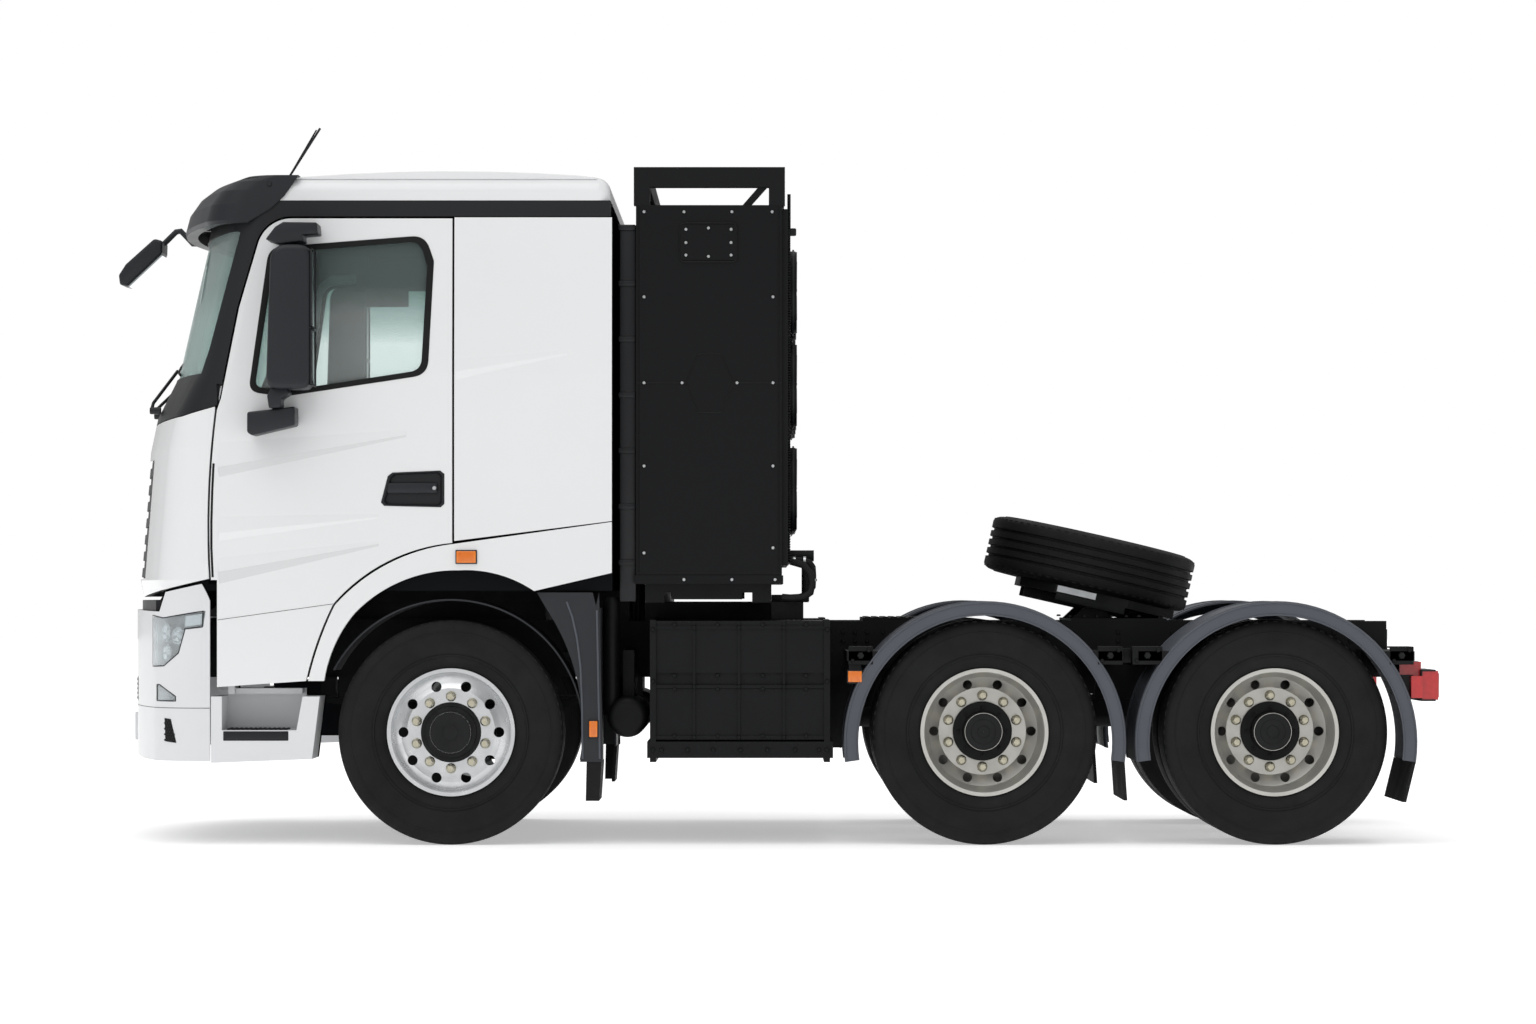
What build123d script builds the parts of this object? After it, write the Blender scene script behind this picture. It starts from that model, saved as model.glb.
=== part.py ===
"""Semi truck tractor unit: battery-electric 6x4 with a flat-roof cab over the front axle.

Millimetres, +Z up, front at -X, the truck's left side at -Y, floor at Z = 0.
Lengths along X are measured from the front axle; at the end everything is moved so that the
origin is the bottom centre of the bounding box.
"""
import os
from math import atan, cos, degrees, radians, sin, sqrt

from build123d import *

# ---- driving dimensions ---------------------------------------------------------------------
WHEELBASE = 2480            # front axle to first drive axle
TANDEM = 1350               # between the two drive axles
REAR_OVERHANG = 754         # last axle to the ends of the tail lamps
TYRE_R = 522                # 295/80 R22.5
TYRE_W = 295
RIM_R = 286                 # bead seat
RIM_FLANGE_R = 298
TWIN_SPACING = 335
TRACK_OUT = 1220            # outer tyre wall from the middle
SPARE_R = 506               # 275/80 R22.5
SPARE_W = 276
CAB_HALF_W = 1250
CAB_REAR = 750
ROOF_TOP = 3100
DRIP_Z0, DRIP_Z1 = 2912, 2991
CAB_BOW = 3000              # radius of the cab front seen from above
SKIN_OUT = 45               # outer panels and doors
WALL = 65                   # whole cab wall
TRIM_T = 25                 # plastic surround
DOOR_T = 40
GAP = 10                    # round a door
SEAM = 5                    # between fixed panels
SEAT = 0.3                  # between a piece and what carries it
FLOOR_Z0, FLOOR_Z1 = 1180, 1240
FRAME_TOP = 1035
FRAME_DEPTH = 270
FRAME_HALF_W = 430          # outer faces of the rails
RAIL_FLANGE = 90
RAIL_T = 9
FRAME_FRONT = -1440
FRAME_REAR = WHEELBASE + TANDEM + REAR_OVERHANG - 130
BUMPER_FRONT = -1594
BUMPER_TOP, BUMPER_BOTTOM = 1095, 390
BUMPER_CORNER_TOP = 1222
DOOR_SWEEP_R = 413            # about the cab pivot, clear of the door's front edge
BUMPER_REAR = -1113
BUMPER_T = 20
TILT_X, TILT_Z = -1500, 990   # cab pivot
TILT_PIN_R = 22
CAB_ARM_Y, CAB_ARM_T = 300, 50
ARM_NOTCH_Z = 960
KINGPIN_Y = 900
COUPLING_X, COUPLING_Z = 3044, 1111   # fifth-wheel pivot
COUPLING_TILT = 12.8
PLATE_RISE = 60             # plate top above its pivot
PLATE_T = 40
COUPLING_PIN_R = 25.4       # 2-inch kingpin
HINGE_X, HINGE_IN = -1065, 11
DOOR_HINGES = (1340, 1840)
MIRROR_TIP = -1840          # front-view mirror, the foremost point

AXLE_2 = WHEELBASE
AXLE_3 = WHEELBASE + TANDEM
FENDER_R = 650
FENDER_T = 8
FENDER_IN = 590             # inner edge of a fender's side valance
FENDER_Z = TYRE_R - 45         # fender centre
FENDER_SPREAD = 8             # degrees below level at both feet
FENDER_FOOT = FENDER_Z - FENDER_R * sin(radians(FENDER_SPREAD))
ORIGIN_X = (MIRROR_TIP + AXLE_3 + REAR_OVERHANG) / 2


# ---- helpers --------------------------------------------------------------------------------
def block(x, y, z):
    """Box from three (low, high) pairs."""
    return Pos((x[0] + x[1]) / 2, (y[0] + y[1]) / 2, (z[0] + z[1]) / 2) * Box(
        x[1] - x[0], y[1] - y[0], z[1] - z[0]
    )


def side_prism(outline, y0, y1):
    """Side-view outline of (x, z) points, from y0 to y1."""
    face = Plane.XZ * make_face(Polyline(*outline, close=True))
    return Pos(0, y1, 0) * extrude(face, amount=y1 - y0)


def wire_prism(lines, y0, y1):
    """Side-view outline of joined lines and arcs, from y0 to y1."""
    return Pos(0, y1, 0) * Rot(90, 0, 0) * extrude(make_face(lines), amount=y1 - y0)


def rounded_prism(corners, y0, y1):
    """Side-view outline of (x, z, corner radius) rows, from y0 to y1."""
    face = make_face(Polyline(*[(x, z) for x, z, _ in corners], close=True))
    for radius in sorted({r for _, _, r in corners if r > 0}):
        picked = []
        for x, z, r in corners:
            if r == radius:
                picked += [v for v in face.vertices() if abs(v.X - x) + abs(v.Y - z) < 0.01]
        face = fillet(picked, radius)
    return Pos(0, y1, 0) * Rot(90, 0, 0) * extrude(face, amount=y1 - y0)


def plan_prism(outline, z0, z1):
    return Pos(0, 0, z0) * extrude(make_face(Polyline(*outline, close=True)), amount=z1 - z0)


def front_prism(outline, x0, x1):
    """Front-view outline of (y, z) points, from x0 to x1."""
    return Pos(x0, 0, 0) * extrude(Plane.YZ * make_face(Polyline(*outline, close=True)), amount=x1 - x0)


def bar_y(x, z, r, y0, y1):
    return Pos(x, (y0 + y1) / 2, z) * Rot(90, 0, 0) * Cylinder(r, y1 - y0)


def bar_x(y, z, r, x0, x1):
    return Pos((x0 + x1) / 2, y, z) * Rot(0, 90, 0) * Cylinder(r, x1 - x0)


def bar_z(x, y, r, z0, z1):
    return Pos(x, y, (z0 + z1) / 2) * Cylinder(r, z1 - z0)


def turned(profile):
    """Solid turned about the Y axis from a closed (radius, y) profile."""
    return revolve(make_face(Polyline(*profile, close=True)), Axis.Y)


def both(shape):
    """The shape and its mirror image on the truck's other side."""
    return [shape, mirror(shape, Plane.XZ)]


def other_side(shape):
    return mirror(shape, Plane.XZ)


def joined(shapes):
    total = shapes[0]
    for shape in shapes[1:]:
        total = total + shape
    return total


def solids_of(shapes):
    found = []
    for shape in shapes if isinstance(shapes, (list, tuple)) else [shapes]:
        found += shape.solids()
    return found


# ---- cab skin -------------------------------------------------------------------------------
# levels of the cab's outer skin: height, front at the middle, half width, corner radius
CAB_LEVELS = (
    (1150, -1562, CAB_HALF_W, 250),
    (1230, -1579, CAB_HALF_W, 250),
    (1845, -1530, CAB_HALF_W, 240),
    (2010, -1495, CAB_HALF_W, 220),
    (2183, -1407, CAB_HALF_W, 190),
    (DRIP_Z1, -1222, CAB_HALF_W - 25, 160),
)


def plan_outline(front, half_w, corner, bow, rear):
    """Cab plan: bowed front, round front corners, straight sides and rear."""
    across = half_w - corner
    along = sqrt((bow - corner) ** 2 - across ** 2)
    bow_x = front + bow
    corner_x = bow_x - along
    side = (corner_x, half_w)
    meet = (bow_x - bow * along / (bow - corner), bow * across / (bow - corner))
    half = ((-along / (bow - corner)), 1 + across / (bow - corner))
    size = sqrt(half[0] ** 2 + half[1] ** 2)
    mid = (corner_x + corner * half[0] / size, across + corner * half[1] / size)
    lines = [
        Line((rear, -half_w), (side[0], -side[1])),
        ThreePointArc((side[0], -side[1]), (mid[0], -mid[1]), (meet[0], -meet[1])),
        ThreePointArc((meet[0], -meet[1]), (front, 0), meet),
        ThreePointArc(meet, mid, side),
        Line(side, (rear, half_w)),
        Line((rear, half_w), (rear, -half_w)),
    ]
    return make_face(lines)


def cab_body(inset):
    """Whole cab below the roof, drawn in by inset all round."""
    body = None
    for low, high in zip(CAB_LEVELS, CAB_LEVELS[1:]):
        faces = []
        for z, front, half_w, corner in (low, high):
            outline = plan_outline(front + inset, half_w - inset, corner - inset, CAB_BOW - inset, CAB_REAR - inset)
            faces.append(Pos(0, 0, z) * outline)
        part = loft(faces, ruled=True)
        body = part if body is None else body + part
    return body


BODY_0 = cab_body(0)
BODY_TRIM = cab_body(TRIM_T)
BODY_DOOR = cab_body(DOOR_T)
BODY_SKIN = cab_body(SKIN_OUT)
BODY_IN = cab_body(WALL)

DOOR_REAR = 10
DOOR_FOOT = 734
HALF = CAB_HALF_W + 60


def door_outline(gap):
    """Door edge lines, moved outwards by gap: the gap round the door, or less than 0 for a lap."""
    g = gap
    return [
        Line((-1079 - g, DOOR_FOOT - g), (-1079 - g, 1230 + g / 2)),
        Line((-1079 - g, 1230 + g / 2), (-1107 - g, 1230 + g / 2)),
        ThreePointArc((-1107 - g, 1230 + g / 2), (-1114 - g, 1480), (-1079 - g, 2018)),
        Line((-1079 - g, 2018), (-1060 - g, 2073)),
        Line((-1060 - g, 2073), (-977 - g, 2495)),
        Line((-977 - g, 2495), (-889 - g, 2796)),
        ThreePointArc((-889 - g, 2796), (-836 - g * 0.7, 2872 + g * 0.7), (-731, 2907 + g)),
        Line((-731, 2907 + g), (DOOR_REAR + g, 2907 + g)),
        Line((DOOR_REAR + g, 2907 + g), (DOOR_REAR + g, 1402 - g)),
        ThreePointArc((DOOR_REAR + g, 1402 - g), (-240 + g * 0.3, 1339 - g), (-541 + g * 0.7, 1119 - g * 0.7)),
        ThreePointArc((-541 + g * 0.7, 1119 - g * 0.7), (-622 + g, 925 - g * 0.3), (-667 + g, 762)),
        Line((-667 + g, 762), (-1079 - g, DOOR_FOOT - g)),
    ]


# door window corners: x, z, corner radius
WINDOW = ((-921, 2112, 45), (-829, 2762, 70), (-126, 2817, 75), (-88, 2700, 30), (-116, 2190, 75), (-760, 2092, 40))


def window_prism(grow):
    """Window opening of the left door, its edges moved outwards by grow."""
    mid_x = sum(p[0] for p in WINDOW) / len(WINDOW)
    mid_z = sum(p[1] for p in WINDOW) / len(WINDOW)
    corners = []
    for x, z, radius in WINDOW:
        away = sqrt((x - mid_x) ** 2 + (z - mid_z) ** 2)
        corners.append((x + (x - mid_x) * grow / away, z + (z - mid_z) * grow / away, radius))
    return rounded_prism(corners, -HALF, -900)


def hinge_axis_y():
    return -(CAB_HALF_W - HINGE_IN)


HINGE_H = 60
LUG_T = 12


# ---- cab ------------------------------------------------------------------------------------
# side-view line between the front panel and the black cowl above it
COWL = ((-1700, 1962), (-1505, 1966), (-1252, 1990), (-1060, 2040))
# windscreen opening seen from the front: y, z
SCREEN = ((-1226, 2190), (-1212, 2850), (1212, 2850), (1226, 2190))
# its rear edge seen from the side: x, z
SCREEN_EDGE = ((-1205, 2000), (-1170, 2170), (-1123, 2300), (-983, 2819), (-905, 3100))
ARCH_FRONT = -583
ARCH_FOOT = 762


def screen_prism(grow):
    """Windscreen opening, its edges moved outwards by grow."""
    outline = [(y + grow * (1 if y > 0 else -1), z + grow * (1 if z > 2500 else -1)) for y, z in SCREEN]
    face = make_face(Polyline(*outline, close=True))
    front = Pos(-1700, 0, 0) * extrude(Plane.YZ * fillet(face.vertices(), 30), amount=1000)
    edge = [(x + grow, z) for x, z in SCREEN_EDGE]
    return front & side_prism((*edge, (-1700, 3100), (-1700, 2000)), -HALF, HALF)


def door_prism(gap):
    return wire_prism(door_outline(gap), -HALF, HALF)


def arch_outline(lap):
    """Wheel-arch panel: below the door and the sleeper, round the wheel opening."""
    g = GAP + lap
    return [
        Line((-667 + g, ARCH_FOOT), (ARCH_FRONT, ARCH_FOOT)),
        ThreePointArc((ARCH_FRONT, ARCH_FOOT), (-536, 925), (-440, 1078)),
        ThreePointArc((-440, 1078), (-236, 1220), (40, 1275)),
        ThreePointArc((40, 1275), (230, 1254), (390, 1179)),
        Line((390, 1179), (CAB_REAR, 1263)),
        Line((CAB_REAR, 1263), (CAB_REAR, 1504 - SEAM)),
        Line((CAB_REAR, 1504 - SEAM), (DOOR_REAR, 1411 - SEAM - GAP)),
        ThreePointArc((DOOR_REAR, 1411 - SEAM - GAP), (-240 + g * 0.3, 1339 - g), (-541 + g * 0.7, 1119 - g * 0.7)),
        ThreePointArc((-541 + g * 0.7, 1119 - g * 0.7), (-622 + g, 925 - g * 0.3), (-667 + g, ARCH_FOOT)),
    ]


def hinge_pockets():
    """Room in the left door for its two hinge lugs, left open inwards and forwards."""
    tall = HINGE_H + 2 * LUG_T + 10
    return [
        block((-1150, HINGE_X + 14), (-CAB_HALF_W + 2, -CAB_HALF_W + DOOR_T + 10), (z - tall / 2, z + tall / 2))
        for z in DOOR_HINGES
    ]


def hinge_lugs():
    """Two lugs and a pin for each left hinge, standing out from the door frame."""
    y_axis = hinge_axis_y()
    y_root = -CAB_HALF_W + SKIN_OUT + 8
    shapes = []
    for z in DOOR_HINGES:
        shapes.append(bar_z(HINGE_X, y_axis, 5, z - HINGE_H / 2 - LUG_T, z + HINGE_H / 2 + LUG_T))
        for side in (-1, 1):
            z_mid = z + side * (HINGE_H + LUG_T) / 2
            shapes.append(block((HINGE_X - 5, HINGE_X + 5), (y_axis, y_root + 10), (z_mid - LUG_T / 2, z_mid + LUG_T / 2)))
        shapes.append(block((-1160, HINGE_X + 5), (y_root + 9, y_root + 22),
                            (z - HINGE_H / 2 - LUG_T, z + HINGE_H / 2 + LUG_T)))
    return shapes


def hinge_knuckles():
    """Sleeves of the left door round the hinge pins."""
    y_axis = hinge_axis_y()
    shapes = []
    for z in DOOR_HINGES:
        low, high = z - HINGE_H / 2 + 5, z + HINGE_H / 2 - 5
        sleeve = bar_z(HINGE_X, y_axis, 9, low, high) + block((HINGE_X, HINGE_X + 20), (y_axis - 9, y_axis + 9), (low, high))
        shapes.append(sleeve - bar_z(HINGE_X, y_axis, 5 + SEAT, low - 1, high + 1))
    return shapes


def cab_shell():
    """Floor, door frames, pillars, sleeper walls, rear wall and the arms down to the tilt pivot."""
    inner_skin = BODY_SKIN - BODY_IN
    inner_skin -= block((-1700, 900), (-HALF, HALF), (1100, FLOOR_Z0))
    door_clear = door_prism(GAP)
    edge = -1079 - GAP
    lap = rounded_prism(((edge - 35, 1212, 0), (edge - 35, 1480, 0), (edge, 2018, 0), (-940, 2480, 0), (-850, 2775, 40),
                         (-720, 2875, 40), (DOOR_REAR - 30, 2875, 60), (DOOR_REAR - 30, 1435, 60), (-230, 1372, 0),
                         (-520, 1262, 0), (-1000, 1262, 0), (-1000, 1212, 0)), -HALF, HALF)
    inner_skin -= lap
    inner_skin -= block((-1700, -1130), (-HALF, HALF), (1100, 1150))
    sleeper_side = (BODY_0 - BODY_SKIN) & side_prism(
        ((DOOR_REAR + GAP, 1411), (CAB_REAR + 20, 1504 + 2), (CAB_REAR + 20, DRIP_Z0), (DOOR_REAR + GAP, DRIP_Z0)),
        -HALF, HALF)
    band_backing = (BODY_TRIM - BODY_SKIN) & side_prism(
        ((-1000, DRIP_Z0 + 10), (CAB_REAR, DRIP_Z0), (CAB_REAR, DRIP_Z1), (-1290, DRIP_Z1), (-1290, 2900), (-1000, 2900)),
        -HALF, HALF) - door_clear
    pillars = (BODY_TRIM - BODY_SKIN) & side_prism(
        ((-1700, 2030), (-1060, 2060), (-700, 2995), (-1700, 2995)), -HALF, HALF)
    pillars -= door_clear
    shell = inner_skin + sleeper_side + band_backing + pillars
    shell -= screen_prism(12)
    rear_low = block((CAB_REAR - WALL, CAB_REAR), (-CAB_HALF_W + SKIN_OUT, CAB_HALF_W - SKIN_OUT), (FLOOR_Z0, 1520))
    shell += rear_low
    floor = BODY_IN & block((-1700, 900), (-HALF, HALF), (FLOOR_Z0, FLOOR_Z1))
    shell += floor
    arms = []
    for y in (-CAB_ARM_Y, CAB_ARM_Y):
        arm = side_prism(((TILT_X - 38, TILT_Z - 20), (TILT_X - 38, TILT_Z + 30), (TILT_X + 60, FLOOR_Z0 + 5),
                          (TILT_X + 330, FLOOR_Z0 + 5), (TILT_X + 38, TILT_Z - 20)), y - CAB_ARM_T / 2, y + CAB_ARM_T / 2)
        arm += bar_y(TILT_X, TILT_Z, 38, y - CAB_ARM_T / 2, y + CAB_ARM_T / 2)
        arms.append(arm - bar_y(TILT_X, TILT_Z, TILT_PIN_R + SEAT, y - 30, y + 30))
    shell += joined(arms)
    for lug in hinge_lugs():
        shell += lug + other_side(lug)
    return shell


def arch_panels():
    ring = BODY_0 - cab_body(SKIN_OUT - SEAT)
    lower = plan_prism(((-900, -CAB_HALF_W), (CAB_REAR, -CAB_HALF_W), (CAB_REAR, -CAB_HALF_W + SKIN_OUT - SEAT),
                        (-900, -CAB_HALF_W + SKIN_OUT - SEAT)), 700, 1200)
    panel = wire_prism(arch_outline(0), -HALF, 0)
    left = (ring + lower) & panel
    left -= block((CAB_REAR - SKIN_OUT - 20, CAB_REAR + 50), (-CAB_HALF_W + SKIN_OUT, 0), (1000, 1600))
    return both(left)


def door():
    """Left door with its lower extension, window opening, handle recess and hinge sleeves."""
    skin = BODY_0 - BODY_DOOR
    lower = block((-1200, -500), (-CAB_HALF_W, -CAB_HALF_W + DOOR_T), (700, 1152))
    leaf = (skin + lower) & wire_prism(door_outline(0), -HALF, -900)
    leaf -= window_prism(0)
    recess = side_prism(((-312, 1592), (-298, 1577), (-48, 1571), (-32, 1586), (-32, 1718), (-50, 1733), (-262, 1724),
                         (-282, 1708)), -HALF, -CAB_HALF_W + 22)
    leaf -= recess
    grip = block((-300, -60), (-CAB_HALF_W + 3, -CAB_HALF_W + 16), (1640, 1672))
    grip += block((-100, -60), (-CAB_HALF_W + 3, -CAB_HALF_W + 24), (1640, 1672))
    leaf += grip
    for pocket in hinge_pockets():
        leaf -= pocket
    for knuckle in hinge_knuckles():
        leaf += knuckle
    return leaf


def door_glass():
    opening = window_prism(-SEAT)
    return (cab_body(18) & opening) - cab_body(23)


def windscreen():
    pane = cab_body(9) - cab_body(17)
    return pane & screen_prism(-SEAT)


def windscreen_surround():
    """Black cowl, pillar covers and the bands above the doors and the sleeper."""
    ring = BODY_0 - cab_body(TRIM_T - SEAT)
    cover = side_prism((*[(x, z + SEAM) for x, z in COWL], (-700, 3000), (-1700, 3000)), -HALF, HALF)
    band = side_prism(((-1000, DRIP_Z0 + SEAM), (CAB_REAR - 8, DRIP_Z0 + SEAM), (CAB_REAR - 8, 3000), (-1000, 3000)), -HALF, HALF)
    piece = (ring & cover) - door_prism(GAP)
    piece += (ring & band) - door_prism(GAP - 3)
    piece -= block((CAB_REAR - 100, CAB_REAR + 50), (-CAB_HALF_W + 150, CAB_HALF_W - 150), (2800, 3100))
    # room for the door's corner, which turns just ahead of its hinge line
    swing = bar_z(HINGE_X, hinge_axis_y(), 17, 2020, 2140)
    return piece - screen_prism(0) - swing - other_side(swing)


def front_panel():
    """Front and corner panels up to the cowl, with a recess for the grille."""
    ring = BODY_0 - cab_body(SKIN_OUT - SEAT)
    edge = -1079 - GAP
    side = wire_prism([
        Line((-1700, 1151), (-1700, COWL[0][1])),
        Line((-1700, COWL[0][1]), COWL[1]),
        Line(COWL[1], COWL[2]),
        Line(COWL[2], (edge, 2033)),
        Line((edge, 2033), (edge, 2018)),
        ThreePointArc((edge, 2018), (edge - 35, 1480), (edge - 28, 1236)),
        Line((edge - 28, 1236), (-1320, 1190)),
        Line((-1320, 1190), (-1520, 1151)),
        Line((-1520, 1151), (-1700, 1151)),
    ], -HALF, HALF)
    grille = block((-1700, -1400), (-760, 760), (1235, 1800)) & (cab_body(-2) - cab_body(20))
    return (ring & side) - grille


ROOF_FRONT, ROOF_HALF_W = -1210, CAB_HALF_W - 25


def cab_roof():
    outline = plan_outline(ROOF_FRONT, ROOF_HALF_W, 160, CAB_BOW, CAB_REAR - 6)
    outline = fillet(outline.vertices().sort_by(Axis.X)[-2:], 60)
    roof = Pos(0, 0, DRIP_Z1 + SEAT) * extrude(outline, amount=ROOF_TOP - DRIP_Z1)
    roof = fillet(roof.edges().group_by(Axis.Z)[-1], 70)
    hollow = plan_outline(ROOF_FRONT + WALL, ROOF_HALF_W - WALL, 100, CAB_BOW, CAB_REAR - WALL)
    return roof - Pos(0, 0, DRIP_Z1 - 10) * extrude(hollow, amount=ROOF_TOP - DRIP_Z1 - 40)


VISOR_TOP = ROOF_TOP + 8
FRONT_MIRROR_Y = 900
AERIAL_X, AERIAL_Y = -790, -900


def sun_visor():
    """Bowed visor across the top of the windscreen, wrapping round the roof's front corners."""
    # levels: height, front at the middle
    levels = ((2872, -1352), (2900, -1362), (2975, -1342), (3040, -1296), (3082, -1240), (VISOR_TOP, -1170))
    shape = None
    for (z0, x0), (z1, x1) in zip(levels, levels[1:]):
        faces = [Pos(0, 0, z) * plan_outline(x, CAB_HALF_W - 14, 170, CAB_BOW, -690) for z, x in ((z0, x0), (z1, x1))]
        part = loft(faces, ruled=True)
        shape = part if shape is None else shape + part
    room_levels = ((2800, -1322), (3030, -1268), (ROOF_TOP + SEAT, -1150))
    for (z0, x0), (z1, x1) in zip(room_levels, room_levels[1:]):
        faces = [Pos(0, 0, z) * plan_outline(x, CAB_HALF_W - 40, 140, CAB_BOW, -600) for z, x in ((z0, x0), (z1, x1))]
        shape -= loft(faces, ruled=True)
    brackets = []
    for y in (-800, -270, 270, 800):
        back = y * y / (2 * CAB_BOW)
        brackets.append(block((back - 1330, back - 1180), (y - 20, y + 20), (2925, 2960)))
    roof_room = Pos(0, 0, DRIP_Z1 - 20) * extrude(
        plan_outline(ROOF_FRONT - SEAT, ROOF_HALF_W + SEAT, 160 + SEAT, CAB_BOW, CAB_REAR), amount=ROOF_TOP + 20 + 2 * SEAT - DRIP_Z1)
    lower = side_prism(((-1400, 2600), (-1400, 2885), (-1180, 2880), (-940, 2888), (-830, 2955), (-770, 3010),
                        (-700, 3112), (-600, 3112), (-600, 2600)), -HALF, HALF)
    arm_room = block((-1500, -1000), (FRONT_MIRROR_Y - 20 - SEAT, FRONT_MIRROR_Y + 20 + SEAT), (2938 - SEAT, 2968 + SEAT))
    return joined([shape - lower, *brackets]) - roof_room - cab_body(-SEAT) - arm_room


def front_view_mirror():
    """Mirror on the right front corner for the ground before the bumper."""
    y0 = FRONT_MIRROR_Y
    head = side_prism(((MIRROR_TIP, 2745), (MIRROR_TIP + 35, 2735), (-1625, 2935), (-1612, 2985), (-1640, 2995),
                       (MIRROR_TIP + 4, 2800)), y0 - 100, y0 + 100)
    head = fillet(head.edges().filter_by(Axis.Y), 9)
    arm = side_prism(((-1640, 2975), (-1560, 3030), (-1520, 3020), (-1440, 2938), (-1060, 2938), (-1060, 2968),
                      (-1425, 2968), (-1505, 3050), (-1570, 3060), (-1655, 3000)), y0 - 20, y0 + 20)
    return head + (arm - cab_body(-SEAT))


def wipers():
    """Three wipers parked on the lower windscreen, pivots in the cowl."""
    shapes = []
    for y in (-620, 0, 620):
        x_pivot = -1502 + y * y / (2 * CAB_BOW)
        pivot = bar_x(y, 2040, 16, x_pivot - 40, x_pivot + 13.7)
        arm = front_prism(((y - 8, 2030), (y + 8, 2030), (y + 250, 2265), (y + 236, 2275)), x_pivot - 38, x_pivot - 28)
        shapes.append(pivot + arm)
    return shapes


def aerial():
    """Whip aerial on the roof behind the visor, leaning back."""
    foot = VISOR_TOP + SEAT
    base = bar_z(AERIAL_X, AERIAL_Y, 16, foot, foot + 20)
    lean = degrees(atan(140 / 240))
    whip = Pos(AERIAL_X, AERIAL_Y, foot + 10) * Rot(0, lean, 0) * Pos(0, 0, 135) * Cylinder(3.5, 270)
    return base + whip


def seats():
    """Two seats on their bases and the bunk behind them."""
    shapes = []
    for y in (-620, 620):
        cushion = block((-560, -60), (y - 250, y + 250), (1620, 1760))
        back = Pos(-60, 0, 1700) * Rot(0, 10, 0) * block((-20, 120), (y - 250, y + 250), (0, 680))
        base = block((-480, -100), (y - 180, y + 180), (FLOOR_Z1 + SEAT, 1620))
        head = Pos(-60, 0, 1700) * Rot(0, 10, 0) * block((0, 90), (y - 150, y + 150), (670, 880))
        shapes.append(cushion + back + base + head)
    shapes.append(block((260, 678), (-1100, 1100), (1650, 1790)) + block((300, 670), (-1060, 1060), (FLOOR_Z1 + SEAT, 1655)))
    return shapes


def dashboard():
    shape = side_prism(((-1430, FLOOR_Z1 + SEAT), (-1430, 2030), (-1330, 2085), (-1060, 2070), (-960, 1960), (-990, 1660),
                        (-1150, 1560), (-1180, FLOOR_Z1 + SEAT)), -1030, 1030)
    return shape & cab_body(WALL + 12)


def steering_wheel():
    """Rim, spokes and column on the left."""
    rim = Torus(225, 15)
    spokes = Box(430, 36, 14) + Box(36, 430, 14) + Cylinder(60, 40)
    column = Pos(0, 0, -200) * Cylinder(32, 400)
    return Pos(-800, -620, 1990) * Rot(0, 32, 0) * (rim + spokes + column) - dashboard()


def door_mirrors():
    """Main and wide-angle housings on their upper arm and lower bracket, left door."""
    y_door = -CAB_HALF_W
    head = block((-830, -622), (y_door - 245, y_door - 25), (2105, 2770))
    head = fillet(head.edges(), 42)
    upper = block((-826, -690), (y_door - 190, y_door + 1), (2784, 2860)) + block((-700, -600), (y_door - 110, y_door + 1), (2795, 2862))
    upper = upper - cab_body(0)
    stem = bar_z(-770, y_door - 150, 22, 2760, 2800)
    ball = block((-830, -720), (y_door - 200, y_door - 60), (2035, 2112))
    lower = block((-906, -692), (y_door - 170, y_door - SEAT), (1900, 2030))
    lower = fillet(lower.edges().filter_by(Axis.Z), 14)
    return head + upper + stem + ball + lower + bar_z(-770, y_door - 110, 24, 2020, 2050)


# ---- chassis --------------------------------------------------------------------------------
RAIL_Z0 = FRAME_TOP - FRAME_DEPTH
CROSS_MEMBERS = (-1270, 760, 2140, (AXLE_2 + AXLE_3) / 2, FRAME_REAR - 40)
REAR_FENDER_Y = (600, 1250)
BOX_X = (945, 1743)
BOX_Z = (488, 1040)
TOWER_X = (859, 1539)
TOWER_Z = (1212, 2976)
TOWER_HALF_W = 1150
FRAME_TUBE = 75
TOWER_TOP = 3153
SPRING_Y = 420
BOGIE_SPRING_Y = 500
AXLE_TUBE_R = 75


def rail():
    """Left channel rail, open inwards."""
    out = -FRAME_HALF_W
    web = block((FRAME_FRONT, FRAME_REAR), (out, out + RAIL_T), (RAIL_Z0, FRAME_TOP))
    top = block((FRAME_FRONT, FRAME_REAR), (out, out + RAIL_FLANGE), (FRAME_TOP - RAIL_T, FRAME_TOP))
    low = block((FRAME_FRONT, FRAME_REAR), (out, out + RAIL_FLANGE), (RAIL_Z0, RAIL_Z0 + RAIL_T))
    return web + top + low


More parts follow.
